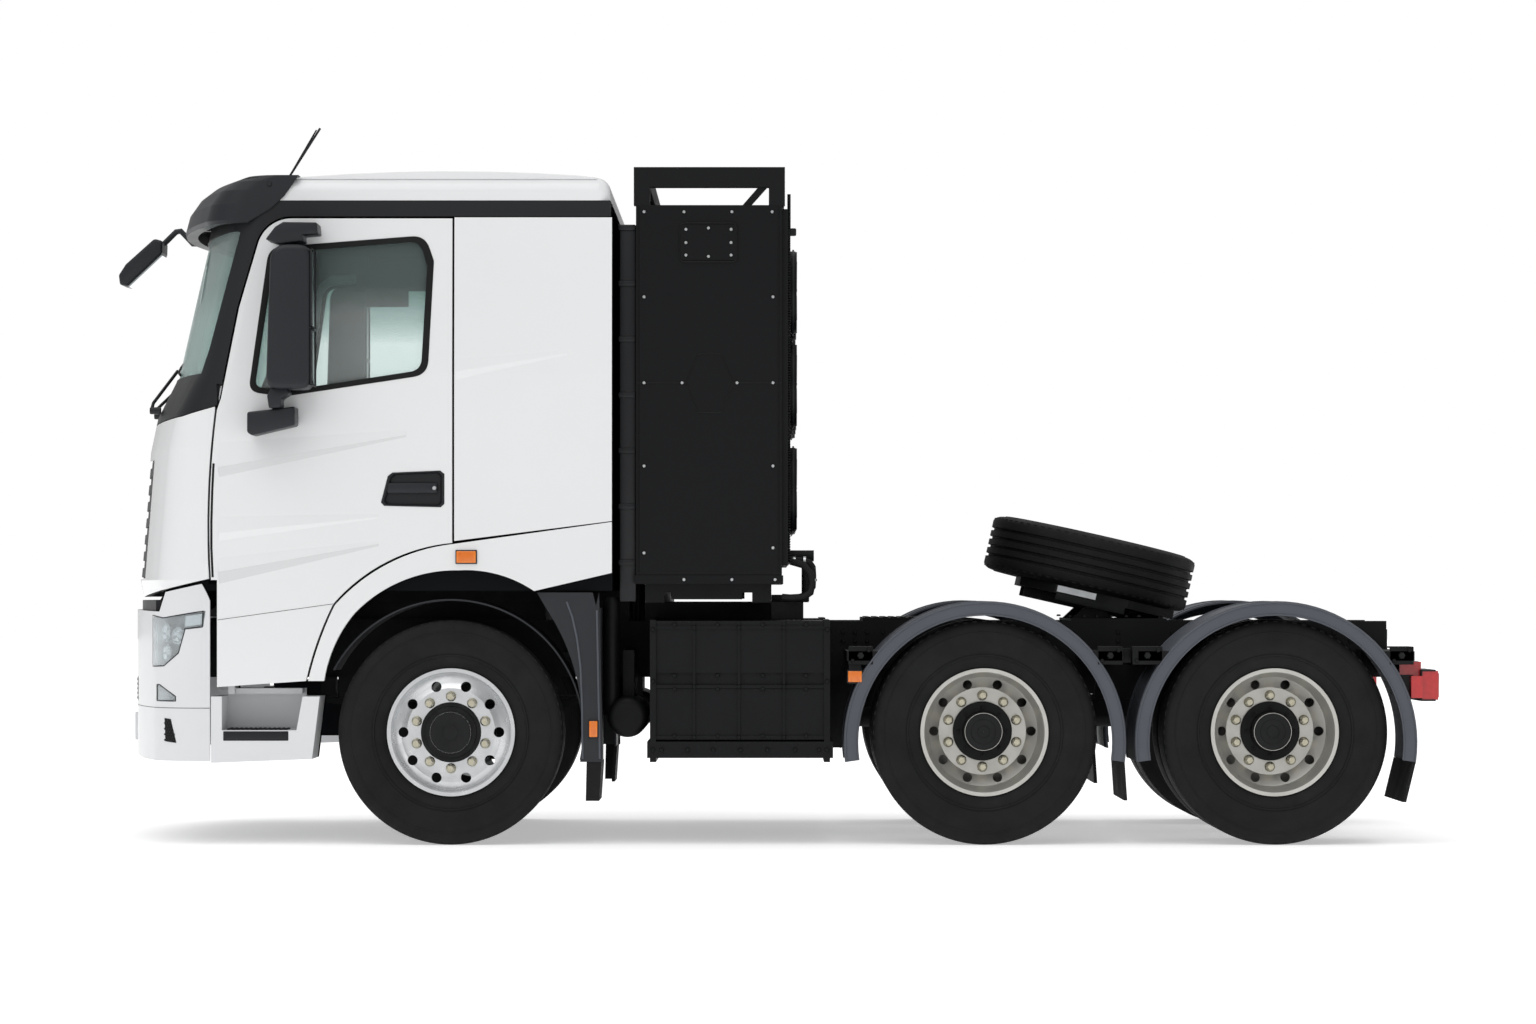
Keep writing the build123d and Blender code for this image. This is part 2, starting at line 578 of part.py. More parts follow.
def frame_rails():
    """Rails, cross members, cab pivots, rear cab posts, spring hangers, fender arms and towing eyes."""
    left = rail()
    inside = FRAME_HALF_W - RAIL_T
    # cab pivot bracket and pin on the rail's front end
    cheek = block((FRAME_FRONT - 60, FRAME_FRONT + 160), (-FRAME_HALF_W - 16, -FRAME_HALF_W), (RAIL_Z0 + 20, FRAME_TOP + 10))
    cheek += bar_y(TILT_X, TILT_Z, 34, -FRAME_HALF_W - 16, -FRAME_HALF_W)
    pin = bar_y(TILT_X, TILT_Z, TILT_PIN_R, -FRAME_HALF_W - 2, -270)
    left += cheek + pin
    post = block((600, 680), (-FRAME_HALF_W - 40, -FRAME_HALF_W), (RAIL_Z0 + 60, FLOOR_Z0 - 5))
    left += post
    for x in (-640, 640):
        left += block((x - 35, x + 35), (-SPRING_Y - 45, -SPRING_Y + 45), (RAIL_Z0 - 95, RAIL_Z0))
    trunnion = (AXLE_2 + AXLE_3) / 2
    left += block((trunnion - 110, trunnion + 110), (-BOGIE_SPRING_Y - 45, -FRAME_HALF_W + RAIL_T), (RAIL_Z0 - 100, RAIL_Z0 + 60))
    for axle in (AXLE_2, AXLE_3):
        fender_room = bar_y(axle, FENDER_Z, FENDER_R + SEAT, -REAR_FENDER_Y[1] - 10, -REAR_FENDER_Y[0] + 10)
        for side in (-1, 1):
            near, far = sorted((axle + side * 480, axle + side * 640))
            arm = block((near, far), (-REAR_FENDER_Y[1] - 2, -FRAME_HALF_W), (FENDER_ARM_Z - 22, FENDER_ARM_Z + 22))
            left += arm - fender_room
    members = [block((x - 45, x + 45), (SEAT - inside, inside - SEAT), (RAIL_Z0 + 40, FRAME_TOP - 40))
               for x in CROSS_MEMBERS]
    tow = members.pop() + block((FRAME_REAR - 85, FRAME_REAR + 20), (-140, 140), (RAIL_Z0 + 20, FRAME_TOP - 20))
    for y in (-TOW_HOLES[0] / 2, TOW_HOLES[0] / 2):
        for z in (TOW_Z - TOW_HOLES[1] / 2, TOW_Z + TOW_HOLES[1] / 2):
            tow -= bar_x(y, z, TOW_HOLE_R, FRAME_REAR - 100, FRAME_REAR + 40)
    # beam the back of the cab comes down on
    rest = block((700, 806), (-FRAME_HALF_W, FRAME_HALF_W), (FRAME_TOP + SEAT, FLOOR_Z0 - 8))
    rest = fillet(rest.edges().filter_by(Axis.Y).group_by(Axis.Z)[-1], 10)
    return [left, other_side(left), *members, tow, rest]


FENDER_ARM_Z = 878
TOW_HOLES = (160, 100)
TOW_HOLE_R = 10.5
TOW_Z = 900


def front_bumper():
    """Bowed bumper with wrapped corners, cut for the lamps and the side vents."""
    outer = Pos(0, 0, BUMPER_BOTTOM) * extrude(
        plan_outline(BUMPER_FRONT, CAB_HALF_W - 5, 270, CAB_BOW, BUMPER_REAR), amount=BUMPER_CORNER_TOP - BUMPER_BOTTOM)
    inner = Pos(0, 0, BUMPER_BOTTOM - 10) * extrude(
        plan_outline(BUMPER_FRONT + BUMPER_T, CAB_HALF_W - 5 - BUMPER_T, 250, CAB_BOW, BUMPER_REAR + 40),
        amount=BUMPER_CORNER_TOP + 20 - BUMPER_BOTTOM)
    shell = outer - inner
    slope = side_prism(((-1700, BUMPER_TOP), (-1362, BUMPER_TOP - 12), (-1328, 1174), (BUMPER_REAR + 10, BUMPER_CORNER_TOP),
                        (BUMPER_REAR + 10, 1300), (-1700, 1300)), -HALF, HALF)
    # the door's front edge passes round the rear corner as the cab tilts
    corner = block((-1190, BUMPER_REAR + 10), (-HALF, HALF), (BUMPER_TOP, BUMPER_CORNER_TOP + 10))
    slope += corner - bar_y(TILT_X, TILT_Z, DOOR_SWEEP_R, -HALF - 1, HALF + 1)
    chin = side_prism(((-1700, 300), (-1700, 470), (-1560, 405), (-1480, BUMPER_BOTTOM), (-1480, 300)), -HALF, HALF)
    shell = shell - slope - chin
    shell -= lamp_region(0)
    # stays to the rails
    for y in (-FRAME_HALF_W - 60, FRAME_HALF_W + 16):
        front = BUMPER_FRONT + BUMPER_T + y * y / (2 * CAB_BOW) - 4
        shell += block((front, FRAME_FRONT + 100), (y, y + 44), (RAIL_Z0 + 40, RAIL_Z0 + 150))
    shell += block((-1560, -1500), (-900, 900), (560, 700)) & outer
    # room for the cab's arms as it tilts
    for y in (-CAB_ARM_Y, CAB_ARM_Y):
        shell -= block((BUMPER_FRONT - 10, -1480), (y - CAB_ARM_T / 2 - 10, y + CAB_ARM_T / 2 + 10), (ARM_NOTCH_Z, BUMPER_TOP + 30))
    return shell


def lamp_region(shrink):
    """Headlamp and fog lamp openings in the bumper, both sides."""
    s = shrink
    head = side_prism(((-1600, 1080 - s), (-1340, 1054 - s), (-1132 - s, 1088 - s), (-1143 - s, 1012 + s), (-1229 - s, 1003 + s),
                       (-1262 - s, 891 + s), (-1336 - s, 831 + s), (-1600, 826 + s)), -HALF, -1050 - s)
    fog = side_prism(((-1600, 743 - s), (-1359, 743 - s), (-1276 - s, 690), (-1276 - s, 668 + s), (-1600, 668 + s)), -HALF, -1105 - s)
    left = head + fog
    return left + other_side(left)


def front_lamps():
    body = Pos(0, 0, BUMPER_BOTTOM) * extrude(
        plan_outline(BUMPER_FRONT + 2, CAB_HALF_W - 7, 268, CAB_BOW, BUMPER_REAR), amount=BUMPER_TOP - BUMPER_BOTTOM)
    inner = Pos(0, 0, BUMPER_BOTTOM - 10) * extrude(
        plan_outline(BUMPER_FRONT + 60, CAB_HALF_W - 65, 220, CAB_BOW, BUMPER_REAR + 40), amount=BUMPER_TOP + 20 - BUMPER_BOTTOM)
    return (body - inner) & lamp_region(SEAT)


def entry_steps():
    """Step boxes below the doors: tread, recess and the hidden upper tread."""
    y_out = -CAB_HALF_W + 8
    skin = side_prism(((BUMPER_REAR + SEAM, 382), (-640, 400), (-604, 690), (-690, 690), (-690, 725), (-1058, 725),
                       (-1058, 690), (BUMPER_REAR + SEAM, 690)), y_out, y_out + 330)
    recess = side_prism(((-1058, 533), (-1058, 730), (-676, 730), (-712, 533)), y_out - 10, y_out + 250)
    left = skin - recess
    left -= side_prism(((-1200, 300), (-1040, 440), (-710, 440), (-500, 300)), y_out + 20, y_out + 340)
    left += block((-1040, -700), (y_out + 150, y_out + 330), (700, 725))
    left += block((-1040, -1010), (y_out + 100, y_out + 330), (700, 980)) + block((-1040, -720), (y_out + 100, y_out + 330), (955, 980))
    left += block((-1040, -960), (y_out + 320, -FRAME_HALF_W + 0), (800, 860))
    return both(left)


def arc_strip(centre, radius, thick, start, stop, y0, y1):
    """Curved sheet in side view about a centre; angles in degrees from +X, counter-clockwise."""
    x, z = centre

    def at(r, a):
        return (x + r * cos(radians(a)), z + r * sin(radians(a)))

    mid = (start + stop) / 2
    low, high = radius, radius + thick
    lines = [
        ThreePointArc(at(high, start), at(high, mid), at(high, stop)),
        Line(at(high, stop), at(low, stop)),
        ThreePointArc(at(low, stop), at(low, mid), at(low, start)),
        Line(at(low, start), at(high, start)),
    ]
    return wire_prism(lines, y0, y1)


def front_mudguards():
    """Liner round each front wheel with the visible quarter guard behind it."""
    liner = arc_strip((0, TYRE_R), 612, 8, -12, 152, -1190, -870)
    guard = wire_prism([
        Line((602, 386), (708, 386)),
        Line((708, 386), (690, 1170)),
        Line((690, 1170), (676, 1110)),
        Line((676, 1110), (660, 1172)),
        Line((660, 1172), (402, 1172)),
        Line((402, 1172), (444, 1100)),
        ThreePointArc((444, 1100), (565, 850), (602, 386)),
    ], -1225, -1190)
    back = block((690, 698), (-1200, -870), (386, 1100))
    stay = block((498, 540), (-900, -FRAME_HALF_W - SEAT), (850, 890))
    return both(liner + guard + back + stay)


def mudflaps():
    shapes = []
    # foot of the guard it hangs from: x, lean at the bottom, z top, z bottom, y range
    reach = FENDER_R * cos(radians(FENDER_SPREAD)) - FENDER_T / 2
    foot = FENDER_FOOT - SEAT
    table = ((694, -12, 386 - SEAT, 205, (-1220, -880)), (AXLE_2 + reach, 12, foot, 208, (-1240, -620)),
             (AXLE_3 + reach, -45, foot, 200, (-1240, -620)))
    for x, lean, top, bottom, y in table:
        flap = side_prism(((x - 8, top), (x + 8, top), (x + 8 + lean, bottom), (x - 8 + lean, bottom)), *y)
        if x < AXLE_2:
            flap += side_prism(((x - 62, top), (x, top), (x + lean, bottom), (x - 54 + lean, bottom)), y[0], y[0] + 12)
        shapes += both(flap)
    return shapes


def rear_fenders():
    shapes = []
    y_in, y_out = REAR_FENDER_Y
    for axle in (AXLE_2, AXLE_3):
        spread = (-FENDER_SPREAD, 180 + FENDER_SPREAD)
        top = arc_strip((axle, FENDER_Z), FENDER_R - FENDER_T, FENDER_T, *spread, -y_out, -y_in)
        side = arc_strip((axle, FENDER_Z), FENDER_IN, FENDER_R - FENDER_IN, *spread, -y_out, -y_out + FENDER_T)
        shapes += both(top + side)
    return shapes


def battery_cabinet():
    """Tall cabinet behind the cab with a flange at its foot and a hatch on each side."""
    y = TOWER_HALF_W
    box = block(TOWER_X, (-y, y), TOWER_Z)
    box += block((TOWER_X[0] - 6, TOWER_X[1] + 6), (-y - 6, y + 6), (TOWER_Z[0], TOWER_Z[0] + 40))
    hatch = side_prism(((1064, 2720), (1064, 2885), (1330, 2885), (1330, 2720)), -y - 6, -y)
    return box + hatch + other_side(hatch)


def cabinet_frame():
    """Square-tube frame on top of the cabinet and the cradle under it."""
    y = TOWER_HALF_W
    t = FRAME_TUBE
    x0, x1 = TOWER_X[0] - 10, TOWER_X[1] + 14
    z0 = TOWER_Z[1] + SEAT
    posts = [block((x, x + t), (side - t / 2, side + t / 2), (z0, TOWER_TOP)) for x in (x0, x1 - t) for side in (-y + t / 2, y - t / 2)]
    beams = [block((x0, x1), (side - t / 2, side + t / 2), (TOWER_TOP - 92, TOWER_TOP)) for side in (-y + t / 2, y - t / 2)]
    rails = [block((x, x + t), (-y, y), (TOWER_TOP - 92, TOWER_TOP)) for x in (x0, x1 - t)]
    brace = [side_prism(((1395, z0), (1500, TOWER_TOP - 60), (1500, TOWER_TOP - 10), (1355, z0)), side - 20, side + 20)
             for side in (-y + t / 2, y - t / 2)]
    top = joined(posts + beams + rails + brace)
    foot = TOWER_Z[0] - SEAT
    cradle = [block((x, x + 90), (-y + 60, y - 60), (FRAME_TOP + 90, foot)) for x in (900, 1400)]
    for side in (-FRAME_HALF_W + 45, FRAME_HALF_W - 45):
        cradle.append(block((880, 1520), (side - 45, side + 45), (FRAME_TOP + SEAT, FRAME_TOP + 92)))
    for side in (-y + 100, y - 100):
        cradle.append(block((1022, 1353), (side - 40, side + 40), (FRAME_TOP + 105, foot)))
        cradle.append(block((900, 1490), (side - 40, side + 40), (foot - 40, foot)))
    return [top, joined(cradle)]


def cooling_unit():
    """Radiator pack on the cabinet's rear with two columns of three round fan shrouds, and its pipes."""
    x0 = TOWER_X[1] + SEAT
    pack = block((x0, x0 + 28), (-TOWER_HALF_W + 30, TOWER_HALF_W - 30), (1300, 2960))
    for z in (1662, 2152, 2591):
        for y in (-810, -270, 270, 810):
            pack += bar_x(y, z, 195, x0 + 20, x0 + 64)
    pipes = bar_z(1650, -900, 18, 1130, 1350) + bar_x(-900, 1345, 26, x0 + 20, 1690)
    pipes += block((1490 + SEAT, 1665), (-940, -860), (1126, 1162)) + block((1490 + SEAT, 1640), (-1000, -820), (BOX_Z[1] + 8, 1128))
    return pack + pipes


def side_battery_boxes():
    shapes = []
    for low, high in (((BOX_Z[0]), 725), (725 + 74, BOX_Z[1])):
        shapes.append(block(BOX_X, (-1210, -FRAME_HALF_W - SEAT), (low, high)))
    shapes.append(block((BOX_X[0] + 6, BOX_X[1] - 6), (-1198, -FRAME_HALF_W - 20), (720, 805)))
    for x in (1131, 1339, 1548):
        shapes.append(block((x - 6, x + 6), (-1218, -1205), (BOX_Z[0], BOX_Z[1])))
    shapes.append(block((913, 1776), (-1222, -FRAME_HALF_W - 40), (404, 480)))
    for x in (940, 1748):
        shapes.append(block((x - 14, x + 14), (-1222, -FRAME_HALF_W - 40), (385, BOX_Z[1] + 5)))
    for z in (735, 1010, 500):
        shapes.append(block((BOX_X[0] - 4, BOX_X[1] + 4), (-1216, -1200), (z - 8, z + 8)))
    return both(joined(shapes))


def air_tanks():
    tank = bar_y(817, 590, 95, -1080, -470)
    tank = fillet(tank.edges(), 30)
    stay = block((790, 844), (-900, -FRAME_HALF_W - SEAT), (660, 900)) + bar_z(740, -1000, 38, 600, 1150)
    duct = block((756, 850), (-1030, -900), (640, 660))
    return both(tank + stay + duct)


def tail_lamps():
    left = block((AXLE_3 + REAR_OVERHANG - 75, AXLE_3 + REAR_OVERHANG), (-1220, -880), (674, 808))
    left += block((AXLE_3 + REAR_OVERHANG - 128, AXLE_3 + REAR_OVERHANG - 75), (-1242, -1180), (683, 785))
    carrier = block((FRAME_REAR - 44, AXLE_3 + REAR_OVERHANG - 90), (-1180, -FRAME_HALF_W - SEAT), (790, 850))
    carrier += block((AXLE_3 + REAR_OVERHANG - 110, AXLE_3 + REAR_OVERHANG - 74), (-1180, -880), (690, 850))
    return both(left + carrier)


def axles():
    """Dropped front beam and the two drive axles with their propeller shafts."""
    beam = front_prism(((-KINGPIN_Y + 40, 470), (-KINGPIN_Y + 40, 574), (-760, 574), (-640, 470), (640, 470), (760, 574),
                        (KINGPIN_Y - 40, 574), (KINGPIN_Y - 40, 470), (780, 460), (650, 365), (-650, 365), (-780, 460)), -50, 50)
    for y in (-KINGPIN_Y, KINGPIN_Y):
        beam += bar_z(0, y, 50, 460, 584)
        beam -= bar_z(0, y, KINGPIN_R + SEAT, 400, 640)
    shapes = [beam]
    for axle in (AXLE_2, AXLE_3):
        tube = bar_y(axle, TYRE_R, AXLE_TUBE_R, -TRACK_OUT + 560, TRACK_OUT - 560)
        tube += Pos(axle, 0, TYRE_R) * Sphere(205)
        tube += bar_y(axle, TYRE_R, 55, -TRACK_OUT + 215, TRACK_OUT - 215)
        nose = bar_x(0, TYRE_R + 40, 90, axle - 330, axle)
        tube += nose
        shapes.append(tube)
    shaft = bar_x(0, TYRE_R + 40, 48, AXLE_2 + 190, AXLE_3 - 330)
    shapes[1] = shapes[1] + shaft
    front_shaft = bar_x(0, TYRE_R + 40, 48, MOTOR_X[1] + SEAT, AXLE_2 - 330)
    shapes[1] = shapes[1] + front_shaft
    return shapes


KINGPIN_R = 24
MOTOR_X = (1180, 1880)


def drive_motor():
    body = block(MOTOR_X, (-290, 290), (420, 900))
    hangers = [block((x - 30, x + 30), (-FRAME_HALF_W + RAIL_T + SEAT, FRAME_HALF_W - RAIL_T - SEAT), (RAIL_Z0 + 20, 900)) for x in (1260, 1800)]
    return joined([body] + hangers)


def leaf_springs():
    """Front springs on the beam and the bogie springs over both drive axles, with their dampers' pads."""
    front = side_prism(((-670, 645), (-250, 574 + 17), (-120, 575), (120, 575), (250, 574 + 17), (670, 645), (670, RAIL_Z0 - 95 - SEAT),
                        (0, 630), (-670, RAIL_Z0 - 95 - SEAT)), -SPRING_Y - 40, -SPRING_Y + 40)
    pad = block((-70, 70), (-SPRING_Y - 45, -SPRING_Y + 45), (470 + SEAT, 576))
    mid = (AXLE_2 + AXLE_3) / 2
    low = TYRE_R + AXLE_TUBE_R + SEAT
    rear = side_prism(((AXLE_2 - 60, low), (AXLE_2 + 80, low), (mid, low - 20), (AXLE_3 - 80, low), (AXLE_3 + 60, low),
                       (AXLE_3 + 60, low + 25), (mid, RAIL_Z0 - 100 - SEAT), (AXLE_2 - 60, low + 25)),
                      -BOGIE_SPRING_Y - 40, -BOGIE_SPRING_Y + 40)
    return both(front + pad) + both(rear)


def power_electronics():
    """Closed box of inverters on the rails under the cab, with a foot flange along each side."""
    low = FRAME_TOP + SEAT
    box = block((-540, 400), (-390, 390), (low, FLOOR_Z0 - 15))
    box = fillet(box.edges().group_by(Axis.Z)[-1], 12)
    foot = block((-540, 400), (-FRAME_HALF_W, FRAME_HALF_W), (low, low + 10))
    return box + foot


def fifth_wheel_base():
    top = FRAME_TOP + SEAT
    base = block((COUPLING_X - 110, COUPLING_X + 350), (-FRAME_HALF_W, FRAME_HALF_W), (top, top + 12))
    for side in (-1, 1):
        y = side * COUPLING_Y
        ear = side_prism(((COUPLING_X - 100, top + 11), (COUPLING_X + 100, top + 11), (COUPLING_X + 30, COUPLING_Z),
                          (COUPLING_X - 30, COUPLING_Z)), y - 25, y + 25)
        ear += bar_y(COUPLING_X, COUPLING_Z, EAR_R, y - 25, y + 25)
        ear -= bar_y(COUPLING_X, COUPLING_Z, 18 + SEAT, y - 30, y + 30)
        base += ear
    walk = block((1932, 2290), (-380, 380), (top, top + 16))
    return [base, walk]


COUPLING_Y = 330
EAR_R = 32


def tilted(shape):
    """From the coupling's own level frame (pivot at 0) to its parked tilt."""
    return Pos(COUPLING_X, 0, COUPLING_Z) * Rot(0, COUPLING_TILT, 0) * shape


def fifth_wheel_plate():
    """Coupling plate with its throat, skirt and pivot pins, drawn level about the pivot."""
    top = PLATE_RISE
    throat = COUPLING_PIN_R + 0.1
    outline = [
        Line((-360, -230), (-200, -440)), Line((-200, -440), (160, -440)), Line((160, -440), (400, -250)),
        Line((400, -250), (330, -110)), Line((330, -110), (26, -throat)), Line((26, -throat), (0, -throat)),
        ThreePointArc((0, -throat), (-throat, 0), (0, throat)),
        Line((0, throat), (26, throat)), Line((26, throat), (330, 110)), Line((330, 110), (400, 250)), Line((400, 250), (160, 440)),
        Line((160, 440), (-200, 440)), Line((-200, 440), (-360, 230)), Line((-360, 230), (-360, -230)),
    ]
    plate = Pos(0, 0, top - PLATE_T) * extrude(make_face(outline), amount=PLATE_T)
    for y in (-COUPLING_Y, COUPLING_Y):
        plate -= bar_y(0, 0, EAR_R + 6, y - 46, y + 46)
        lug = [block((-28, 28), (y + s * 38 - 8, y + s * 38 + 8), (-26, top - PLATE_T + 1)) for s in (-1, 1)]
        plate += joined(lug) + bar_y(0, 0, 18, y - 46, y + 46)
    return tilted(plate)


# ---- wheels ---------------------------------------------------------------------------------
def tyre(radius, width, bead=RIM_R):
    """Tyre about the Y axis, centred on its own middle plane."""
    w = width / 2
    tread = w - 32
    belly = (radius - 40 + bead + 55) / 2
    lines = [
        Line((radius, -tread), (radius, tread)),
        ThreePointArc((radius, tread), (radius - 14, tread + 17), (radius - 40, w - 6)),
        ThreePointArc((radius - 40, w - 6), (belly, w), (bead + 55, w - 16)),
        ThreePointArc((bead + 55, w - 16), (bead + 22, w - 34), (bead + 13, w - 48)),
        Line((bead + 13, w - 48), (bead + SEAT, w - 50)),
        Line((bead + SEAT, w - 50), (bead + SEAT, 50 - w)),
        Line((bead + SEAT, 50 - w), (bead + 13, 48 - w)),
        ThreePointArc((bead + 13, 48 - w), (bead + 22, 34 - w), (bead + 55, 16 - w)),
        ThreePointArc((bead + 55, 16 - w), (belly, -w), (radius - 40, 6 - w)),
        ThreePointArc((radius - 40, 6 - w), (radius - 14, -tread - 17), (radius, -tread)),
    ]
    return revolve(make_face(lines), Axis.Y)


def rim_ring(width):
    """Rim well, bead seats and flanges about the Y axis."""
    w = width / 2 - 50
    return turned((
        (RIM_R, -w), (RIM_R, w), (RIM_FLANGE_R - 0.5, w + 3), (RIM_FLANGE_R - 0.5, w + 14), (RIM_R - 6, w + 14),
        (RIM_R - 12, w - 10), (RIM_R - 30, w - 60), (RIM_R - 30, 60 - w), (RIM_R - 12, 10 - w),
        (RIM_R - 6, -w - 14), (RIM_FLANGE_R - 0.5, -w - 14), (RIM_FLANGE_R - 0.5, -w - 3),
    ))


def round_pattern(shape, count, phase=0.0):
    return [Rot(0, phase + 360 / count * i, 0) * shape for i in range(count)]


NUTS = 10
NUT_CIRCLE_R = 167.5
HAND_HOLES = 10


def hub(face_y, cap_y, inner_y, bore):
    """Hub barrel with its nuts and cap; the wheel's outside is towards -Y."""
    barrel = bar_y(0, 0, 138, face_y, inner_y) + bar_y(0, 0, 95, cap_y, face_y)
    barrel = barrel + joined(round_pattern(bar_y(NUT_CIRCLE_R, 0, 16, face_y - 38, face_y), NUTS, 18))
    return barrel - bar_y(0, 0, bore, face_y + 50, inner_y + 1)


def front_rim():
    """Outset disc wheel with its hub, about the Y axis, the outside towards -Y."""
    ring = rim_ring(TYRE_W)
    disc = turned(((100, -100), (205, -100), (232, -84), (RIM_R - 14, -72), (RIM_R - 14, -56), (225, -62), (200, -78), (100, -78)))
    disc -= joined(round_pattern(bar_y(222, 0, 24, -130, 0), HAND_HOLES))
    body = ring + disc + hub(-100, -150, 60, SPINDLE_R + 0.5)
    return body


def twin_rims():
    """Outer dish, inner rim and the hub between, for the outer wheel's middle plane at Y = 0."""
    ring = rim_ring(TYRE_W)
    outer_disc = turned(((100, 118), (215, 118), (RIM_R - 14, 72), (RIM_R - 14, 54), (205, 100), (100, 100)))
    outer_disc -= joined(round_pattern(bar_y(228, 0, 22, 0, 200), HAND_HOLES))
    inner = Pos(0, TWIN_SPACING, 0) * ring
    mid = TWIN_SPACING / 2
    inner_disc = turned(((100, 118 + SEAT), (205, 118 + SEAT), (225, 150), (RIM_R - 10, TWIN_SPACING - 92), (RIM_R - 10, TWIN_SPACING - 74),
                         (215, 170), (195, 140), (100, 140)))
    drive = bar_y(0, 0, 138, 90, 260) + bar_y(0, 0, 88, -30, 100)
    drive += joined(round_pattern(bar_y(NUT_CIRCLE_R, 0, 16, 66, 101), NUTS, 18))
    drive -= bar_y(0, 0, AXLE_END_R + 0.5, 40, 270)
    return [joined([ring, outer_disc, drive, inner_disc, inner])]


SPINDLE_R = 40
AXLE_END_R = 55
WHEEL_Y = TRACK_OUT - TYRE_W / 2


def spare_rim():
    ring = rim_ring(SPARE_W)
    disc = turned(((140.5, 70), (205, 70), (RIM_R - 16, 62), (RIM_R - 16, 44), (200, 54), (140.5, 54)))
    holes = round_pattern(bar_y(NUT_CIRCLE_R, 0, 13, 0, 100), NUTS, 18) + round_pattern(bar_y(228, 0, 20, 0, 100), HAND_HOLES)
    return ring + disc - joined(holes)


def spare_at(shape):
    """Lay a wheel built about Y flat on the coupling plate, its middle over the kingpin throat."""
    return tilted(Pos(SPARE_OFFSET, 0, PLATE_RISE + SPARE_W / 2 + 1) * Rot(90, 0, 0) * shape)


SPARE_OFFSET = -36


def knuckle():
    """Left steering knuckle: kingpin, fork, spindle, brake drum plate and steering arm."""
    y = -KINGPIN_Y
    pin = bar_z(0, y, KINGPIN_R, 452, 592)
    fork = [block((-48, 48), (y - 90, y + 46), z) for z in ((418, 455), (589, 626))]
    web = block((-48, 48), (y - 92, y - 56), (418, 626))
    spindle = bar_y(0, TYRE_R, SPINDLE_R, y - 190, y - 60)
    drum = bar_y(0, TYRE_R, 200, y - 96, y - 84)
    arm = block((-40, ARM_X + 24), (ARM_Y - 24, ARM_Y + 24), (425, 445))
    eye = bar_z(ARM_X, ARM_Y, 9, 392, 428)
    return joined([pin, *fork, web, spindle, drum, arm, eye])


ARM_X, ARM_Y = 190, -KINGPIN_Y


def track_rod():
    """Rod between the two steering arms, behind the beam."""
    span = -ARM_Y
    rod = bar_y(ARM_X, 404, 16, -span, span)
    for y in (-span, span):
        rod += block((ARM_X - 26, ARM_X + 26), (y - 26, y + 26), (388, 420))
        rod -= bar_z(ARM_X, y, 9 + SEAT, 380, 430)
    return rod


def at_wheel(x, shape, left=True):
    placed = Pos(x, -WHEEL_Y, TYRE_R) * shape
    return placed if left else other_side(placed)


# ---- all the pieces -------------------------------------------------------------------------
def build_pieces():
    door_left = door()
    mirror_left = door_mirrors()
    knuckle_left = knuckle()
    glass_left = door_glass()
    pieces = {
        "frame_rails": frame_rails(),
        "axles": axles(),
        "leaf_springs": leaf_springs(),
        "drive_motor": drive_motor(),
        "power_electronics": power_electronics(),
        "front_bumper": front_bumper(),
        "front_lamps": front_lamps(),
        "entry_steps": entry_steps(),
        "front_mudguards": front_mudguards(),
        "mudflaps": mudflaps(),
        "battery_cabinet": battery_cabinet(),
        "cabinet_frame": cabinet_frame(),
        "cooling_unit": cooling_unit(),
        "side_battery_boxes": side_battery_boxes(),
        "air_tanks": air_tanks(),
        "rear_fenders": rear_fenders(),
        "tail_lamps": tail_lamps(),
        "fifth_wheel_base": fifth_wheel_base(),
        "fifth_wheel_plate": fifth_wheel_plate(),
        "spare_tyre": spare_at(tyre(SPARE_R, SPARE_W)),
        "spare_rim": spare_at(spare_rim()),
        "cab_shell": cab_shell(),
        "arch_panels": arch_panels(),
        "cab_roof": cab_roof(),
        "windscreen": windscreen(),
        "windscreen_surround": windscreen_surround(),
        "front_panel": front_panel(),
        "sun_visor": sun_visor(),
        "front_view_mirror": front_view_mirror(),
        "wipers": wipers(),
        "aerial": aerial(),
        "seats": seats(),
        "dashboard": dashboard(),
        "steering_wheel": steering_wheel(),
        "door_left": door_left,
        "door_right": other_side(door_left),
        "door_glass_left": glass_left,
        "door_glass_right": other_side(glass_left),
        "mirror_left": mirror_left,
        "mirror_right": other_side(mirror_left),
        "knuckle_left": knuckle_left,
        "knuckle_right": other_side(knuckle_left),
        "track_rod": track_rod(),
    }
    tread = tyre(TYRE_R, TYRE_W)
    twin_treads = [tread, Pos(0, TWIN_SPACING, 0) * tread]
    steer_rim = front_rim()
    twin = twin_rims()
    for side, left in (("left", True), ("right", False)):
        pieces["front_tyre_" + side] = at_wheel(0, tread, left)
        pieces["front_rim_" + side] = at_wheel(0, steer_rim, left)
        for axle_name, x in (("mid", AXLE_2), ("rear", AXLE_3)):
            pieces[f"{axle_name}_tyres_{side}"] = [at_wheel(x, one, left) for one in twin_treads]
            pieces[f"{axle_name}_rims_{side}"] = [at_wheel(x, one, left) for one in twin]
    return pieces


def main():
    os.makedirs("parts", exist_ok=True)
    for name, shapes in build_pieces().items():
        solids = [Pos(-ORIGIN_X, 0, 0) * solid for solid in solids_of(shapes)]
        whole = solids[0] if len(solids) == 1 else Compound(children=solids)
        export_step(whole, f"parts/{name}.step")


if __name__ == "__main__":
    main()
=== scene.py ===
"""Looks of a battery-electric semi tractor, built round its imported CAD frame.

Laid out as a Blender add-on and run as a script: main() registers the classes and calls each
operator in turn. Metres, +Z up, front at -X, the truck's left at -Y.
"""

import math

import bmesh
import bpy
from mathutils import Matrix, Vector


